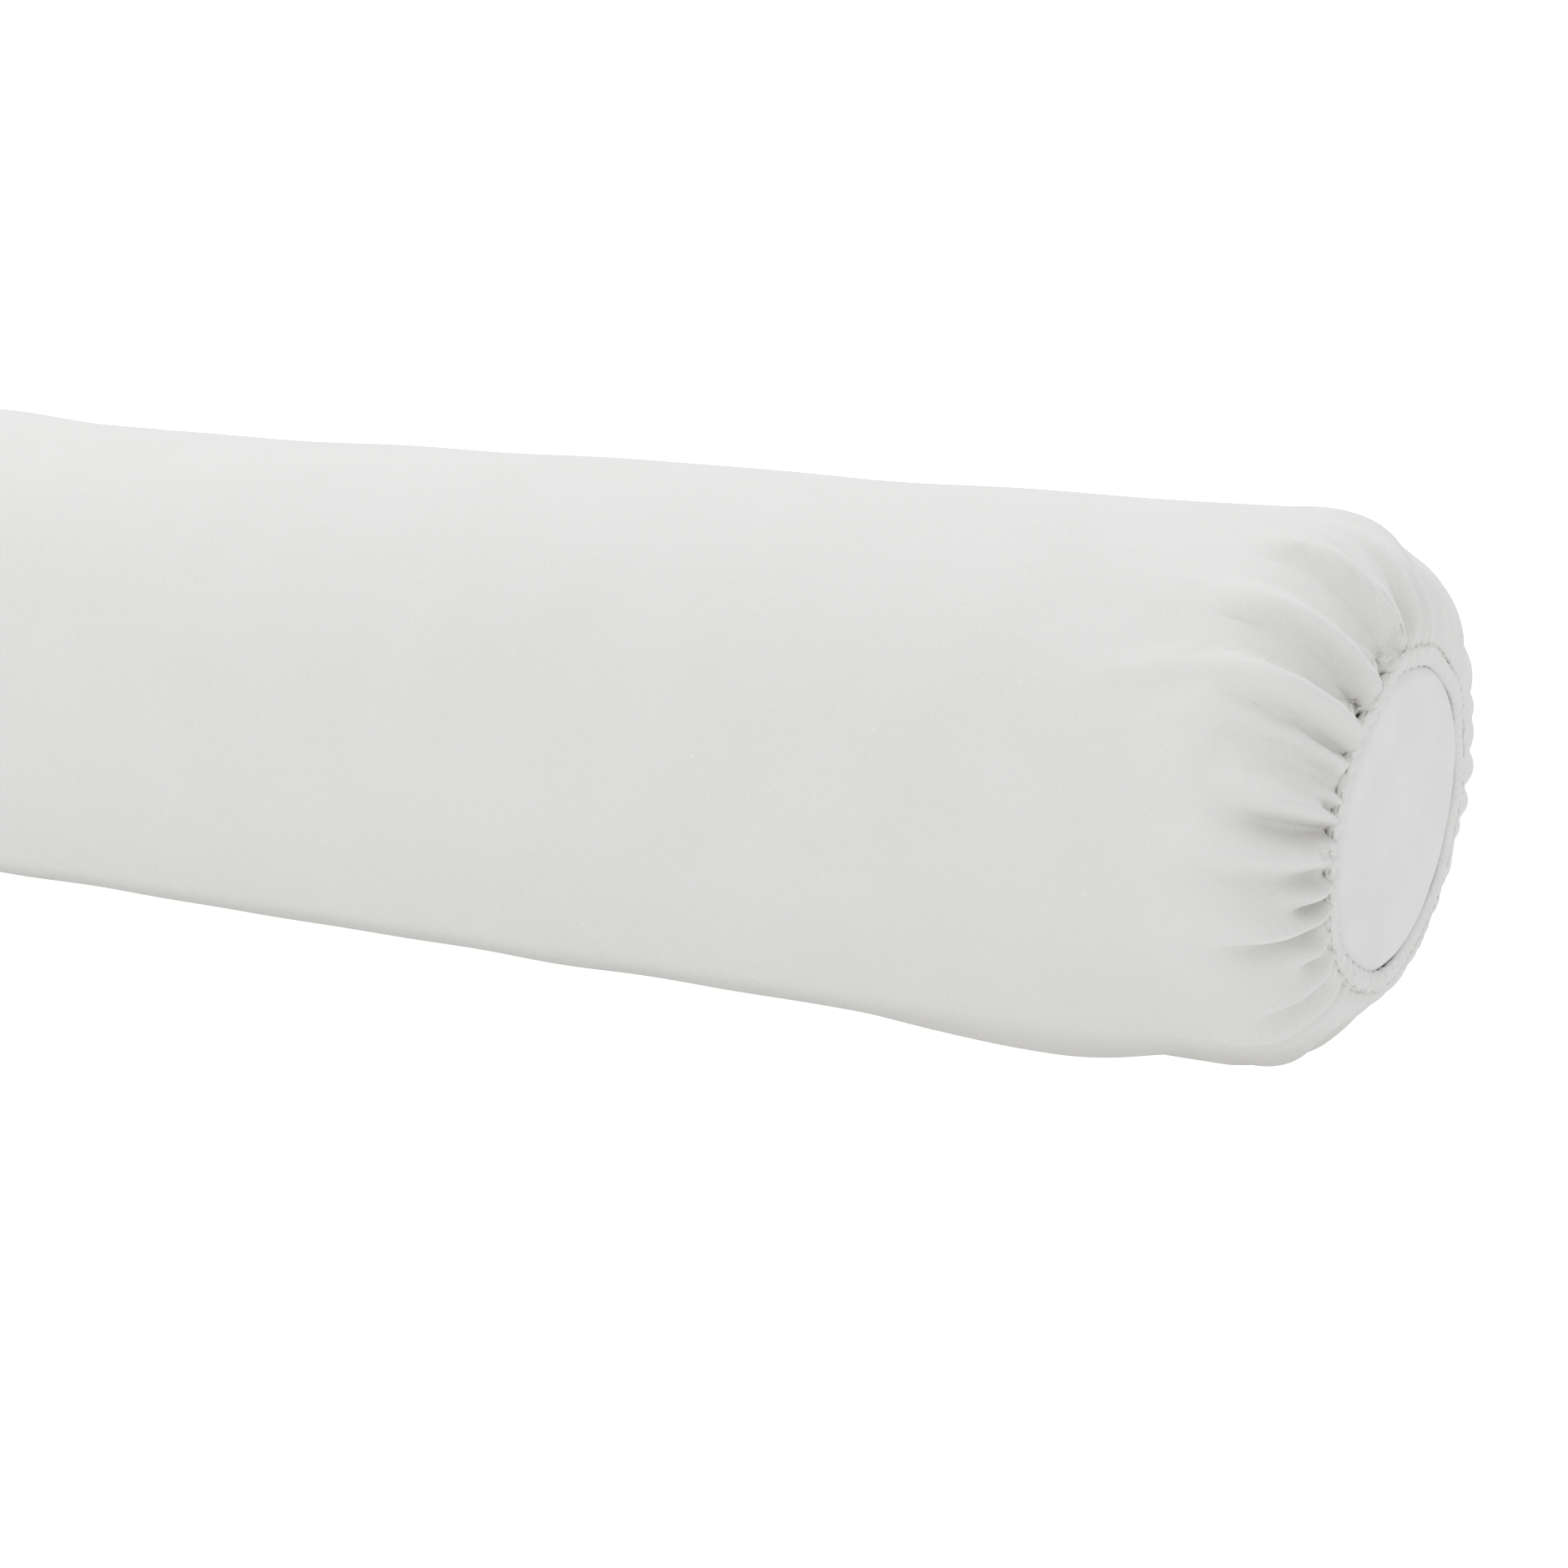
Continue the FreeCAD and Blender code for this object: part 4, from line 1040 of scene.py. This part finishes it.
def flannel():
    """White brushed cotton: soft nap, a faint weave under it, specks of lint, and painted warm shade in the
    folds.
    """
    n = Nodes("brushed_cloth")
    nap = n.noise(1500, 4, 0.75)
    tufts = n.noise(330, 3, 0.6)
    patches = n.noise(38, 2, 0.5)
    weft = n.wave(330, "X", 1.5)
    speck = n.ramp(n.cells(70, n.stretch((1, 2.2, 1.4))), 0.03, 0.055, 1, 0)
    base = n.mix(n.ramp(patches, 0.3, 0.7), rgb(0.787, 0.787, 0.778), rgb(0.80, 0.80, 0.792))
    base = n.mix(n.combine("MULTIPLY", n.ramp(nap, 0.35, 0.7), 0.35), base, rgb(0.85, 0.85, 0.845))
    base = n.mix(n.combine("MULTIPLY", speck, 0.35), base, rgb(0.93, 0.93, 0.92))
    # Painted shade: ambient occlusion darkens the cloth's colour to warm grey deep in the folds and hollows.
    painted_fold_shade = n.add("ShaderNodeAmbientOcclusion", {"Distance": 14 * MM}, samples=6).outputs["AO"]
    base = n.mix(n.ramp(painted_fold_shade, 0.2, 0.9), rgb(0.70, 0.69, 0.665), base)
    height = n.plus(n.plus(n.combine("MULTIPLY", nap, 0.5), tufts, 0.6), weft, 0.12)
    relief = n.bump(height, 0.5, 0.0006)
    return n.surface(color=base, rough=0.95, specular=0.15, sheen=0.35, sheen_rough=0.6, normal=relief)


def artificial_leather():
    """Pale grey artificial leather with a fine pebbled grain."""
    n = Nodes("artificial_leather")
    grain = n.cells(900, feature="SMOOTH_F1")
    soft = n.noise(60, 3, 0.5)
    base = n.mix(n.ramp(soft, 0.3, 0.7), rgb(0.79, 0.79, 0.795), rgb(0.82, 0.82, 0.825))
    height = n.plus(grain, soft, 0.4)
    return n.surface(color=base, rough=0.5, specular=0.35, normal=n.bump(height, 0.12, 0.0004))


def sewing_thread():
    """Twisted polyester thread: a fine diagonal ply and a soft shine."""
    n = Nodes("sewing_thread")
    ply = n.wave(900, "DIAGONAL", 2)
    base = n.mix(ply, rgb(0.66, 0.66, 0.64), rgb(0.78, 0.78, 0.76))
    return n.surface(color=base, rough=0.6, sheen=0.2, normal=n.bump(ply, 0.4, 0.0001))


def braided_elastic():
    """White braided elastic: ribs along the band with a cross hatch."""
    n = Nodes("braided_elastic")
    rib = n.wave(500, "X")
    hatch = n.noise(1800, 2)
    height = n.plus(rib, hatch, 0.4)
    base = n.mix(rib, rgb(0.72, 0.72, 0.70), rgb(0.82, 0.82, 0.81))
    return n.surface(color=base, rough=0.8, normal=n.bump(height, 0.4, 0.0002))


def satin_ribbon():
    """Blank satin ribbon: fine floats along its length and a soft shine."""
    n = Nodes("satin_ribbon")
    float_threads = n.noise(700, 2, 0.4, n.stretch((0.1, 3, 3)))
    base = n.mix(float_threads, rgb(0.80, 0.80, 0.80), rgb(0.86, 0.86, 0.86))
    return n.surface(color=base, rough=0.35, sheen=0.3, normal=n.bump(float_threads, 0.2, 0.0001))


def zip_tape():
    """Woven zip tape: a herringbone of two crossed waves."""
    n = Nodes("woven_zip_tape")
    height = n.combine("MAXIMUM", n.wave(520, "X", 0.4), n.wave(420, "Z", 0.4))
    base = n.mix(height, rgb(0.56, 0.56, 0.55), rgb(0.68, 0.68, 0.67))
    return n.surface(color=base, rough=0.85, sheen=0.15, normal=n.bump(height, 0.5, 0.0002))


def moulded_plastic():
    """Off-white moulded plastic for the teeth, with a satin face and slight mottling."""
    n = Nodes("moulded_plastic")
    mottle = n.noise(260, 3)
    base = n.mix(mottle, rgb(0.66, 0.66, 0.65), rgb(0.74, 0.74, 0.73))
    rough = n.ramp(mottle, 0.2, 0.8, 0.3, 0.45)
    return n.surface(color=base, rough=rough, normal=n.bump(mottle, 0.1, 0.0001))


def plated_metal():
    """Satin nickel plate: fine tumbling marks, and duller patches from handling."""
    n = Nodes("satin_plated_metal")
    marks = n.noise(2400, 3, 0.7, n.stretch((0.25, 1, 1)))
    worn = n.noise(140, 3, 0.6)
    base = n.mix(worn, rgb(0.60, 0.60, 0.61), rgb(0.74, 0.74, 0.75))
    rough = n.ramp(worn, 0.3, 0.7, 0.22, 0.4)
    return n.surface(color=base, rough=rough, metal=1.0, normal=n.bump(marks, 0.12, 0.0001))


def open_cell_foam():
    """Cream polyurethane foam with open cells."""
    n = Nodes("open_cell_foam")
    cells = n.cells(700)
    base = n.mix(cells, rgb(0.62, 0.56, 0.42), rgb(0.84, 0.80, 0.68))
    return n.surface(color=base, rough=0.95, normal=n.bump(cells, 0.7, 0.0006))


def fibre_wadding():
    """White polyester wadding: long loose fibres."""
    n = Nodes("fibre_wadding")
    fibres = n.noise(420, 5, 0.75, n.stretch((0.2, 1, 1), (0, 0, 0.4)))
    base = n.mix(fibres, rgb(0.74, 0.74, 0.74), rgb(0.90, 0.90, 0.90))
    return n.surface(color=base, rough=0.98, sheen=0.3, normal=n.bump(fibres, 0.8, 0.001))


def floor_material():
    """Pale floor: near white to the camera, with only a faint shadow, and duller as a source of light."""
    n = Nodes("pale_floor")
    to_camera = n.add("ShaderNodeLightPath").outputs["Is Camera Ray"]
    n.surface(color=rgb(0.45, 0.45, 0.45), rough=1.0, specular=0.0)
    n.feed(n.shader.inputs["Emission Color"], rgb(1, 1, 1))
    n.feed(n.shader.inputs["Emission Strength"], n.ramp(to_camera, 0, 1, FLOOR_BOUNCE, FLOOR_GLOW))
    return n.material


# ---- stage


def make_stage():
    """Floor, soft light all round, a large light in front and one above, and the camera."""
    sweep = [(-4.0, 0.0), (3.0, 0.0)]
    sweep += [(3.0 + 1.5 * math.sin(a), 1.5 - 1.5 * math.cos(a)) for a in np.linspace(0.1, math.pi / 2, 12)]
    sweep.append((4.5, 6.0))
    points = [(x, y, z) for y, z in sweep for x in (-7.0, 7.0)]
    floor = add_mesh("floor", points, grid_faces(len(sweep), 2, closed=False), floor_material())
    world = bpy.data.worlds.new("studio")
    SCENE.world = world
    world.use_nodes = True
    light_world(world.node_tree)
    add_light("key", (-0.9, -1.3, 1.5), 1.4, KEY_LIGHT)
    add_light("top", (-0.3, 0.7, 2.0), 1.8, TOP_LIGHT)
    SCENE.view_settings.view_transform = "Standard"
    make_camera()


def light_world(tree):
    """White to the camera, and a little less as a source of light."""
    path = tree.nodes.new("ShaderNodeLightPath")
    strength = tree.nodes.new("ShaderNodeMapRange")
    strength.inputs["To Min"].default_value = WORLD_LIGHT
    strength.inputs["To Max"].default_value = 1.0
    tree.links.new(path.outputs["Is Camera Ray"], strength.inputs["Value"])
    background = tree.nodes["Background"]
    background.inputs["Color"].default_value = rgb(1, 1, 1)
    tree.links.new(strength.outputs["Result"], background.inputs["Strength"])


def add_light(name, place, width, power):
    """A square soft light that looks at the origin."""
    light = bpy.data.lights.new(name, "AREA")
    light.size = width
    light.energy = power
    obj = bpy.data.objects.new(name, light)
    obj.location = place
    obj.rotation_euler = (-Vector(place)).to_track_quat("-Z", "Y").to_euler()
    SCENE.collection.objects.link(obj)


def make_camera():
    """The camera at its place, with its level turned by CAMERA_ROLL."""
    camera = bpy.data.cameras.new("camera")
    camera.lens, camera.sensor_width = CAMERA_LENS, CAMERA_SENSOR
    camera.clip_start, camera.clip_end = 0.01, 50
    az, el = CAMERA_AZIMUTH, CAMERA_ELEVATION
    back = Vector((math.sin(az) * math.cos(el), -math.cos(az) * math.cos(el), math.sin(el)))
    right = Vector((math.cos(az), math.sin(az), 0))
    up = back.cross(right)
    turned_right = math.cos(CAMERA_ROLL) * right + math.sin(CAMERA_ROLL) * up
    turned_up = back.cross(turned_right)
    obj = bpy.data.objects.new("camera", camera)
    rotation = Matrix((turned_right, turned_up, back)).transposed().to_4x4()
    obj.matrix_world = Matrix.Translation(CAMERA_PLACE) @ rotation
    SCENE.collection.objects.link(obj)
    SCENE.camera = obj


# ---- inside the cover


def skirt_point(x, down, inside):
    """A point by the slack cloth behind the roll: how far down from where the cloth leaves the roll, and how
    far inside the cloth."""
    out = COVER_RADIUS - inside
    y = out * math.sin(SKIRT_TURN) - down * math.cos(SKIRT_TURN)
    z = AXIS - out * math.cos(SKIRT_TURN) - down * math.sin(SKIRT_TURN)
    return Vector((x, y, z))


def make_seam_allowance(cloth, thread):
    """The overlocked edges of the long seam, and the thread laid over them."""
    low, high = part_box("cover_seam_allowance")
    places = np.arange(low.x, high.x, 3 * MM)
    sections = []
    for i, x in enumerate(places):
        ripple = 0.12 * math.sin(0.9 * i) + 0.08 * math.sin(2.3 * i)
        sections.append([skirt_point(x, (down + ripple) * MM, inside * MM) for down, inside in SEAM_SECTION])
    strip = ribbon_mesh("cover_seam_edges", sections, cloth)
    stand_in(strip, "cover", "cover_seam_allowance")
    starts = [skirt_point(x, 24.2 * MM, 3.0 * MM) for x in places[1:-2]]
    finishes = [skirt_point(x + 2.4 * MM, 28.2 * MM, 3.1 * MM) for x in places[1:-2]]
    overlock = add_stitches("cover_seam_thread", zip(starts, finishes), thread, 0.22 * MM)
    stand_in(overlock, "cover", "cover_seam_stitching")
    return [strip, overlock]


def make_care_label(material):
    """A blank ribbon label, folded in half, with its cut ends caught in the seam."""
    low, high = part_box("care_label")
    columns, steps = 9, 15
    points = []
    for x in np.linspace(low.x, high.x, columns):
        for turn in np.linspace(0, math.pi, steps):
            down = (17.5 + 14 * math.sin(turn)) * MM
            inside = (3.4 + 0.35 * math.cos(turn)) * MM
            points.append(skirt_point(x, down, inside))
    label = add_mesh("care_label_ribbon", points, grid_faces(columns, steps, closed=False), material)
    thicken(label, 0.15 * MM)
    stand_in(label, "cover", "care_label")
    return [label]


# ---- put together


def dress_zip():
    """Gives the CAD's zip parts their materials, and rounds their hard edges."""
    plastic, metal = moulded_plastic(), plated_metal()
    for name, material, edge, segments in (
        ("zip_teeth_upper", plastic, 0.22 * MM, 2),
        ("zip_teeth_lower", plastic, 0.22 * MM, 2),
        ("zip_top_stops", metal, 0.22 * MM, 2),
        ("zip_bottom_stop", metal, 0.22 * MM, 2),
        ("zip_slider", metal, 0.2 * MM, 3),
        ("zip_pull_tab", metal, 0.18 * MM, 3),
    ):
        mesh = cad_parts[name].data
        mesh.materials.clear()
        mesh.materials.append(material)
        soften_edges(name, edge, segments)


def main():
    """Builds every piece. Each of the cover's pieces gets a mesh of its own."""
    cloth, skin, thread = flannel(), artificial_leather(), sewing_thread()
    elastic, tape = braided_elastic(), zip_tape()
    cover_pieces = [make_cover(cloth)]
    for side, name in ((1, "right"), (-1, "left")):
        cover_pieces += make_hem(side, name, cloth, elastic, thread)
        make_end_panel(side, name, skin)
        make_end_stitching(side, name, thread)
    cover_pieces += make_seam_allowance(cloth, thread)
    cover_pieces += make_care_label(satin_ribbon())
    for piece in cover_pieces:
        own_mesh(piece)
    make_skin_tube(skin)
    make_foam(open_cell_foam())
    make_wadding(fibre_wadding())
    make_zip_tape(1, "upper", tape)
    make_zip_tape(-1, "lower", tape)
    make_zip_stitching(thread)
    dress_zip()
    make_stage()


main()
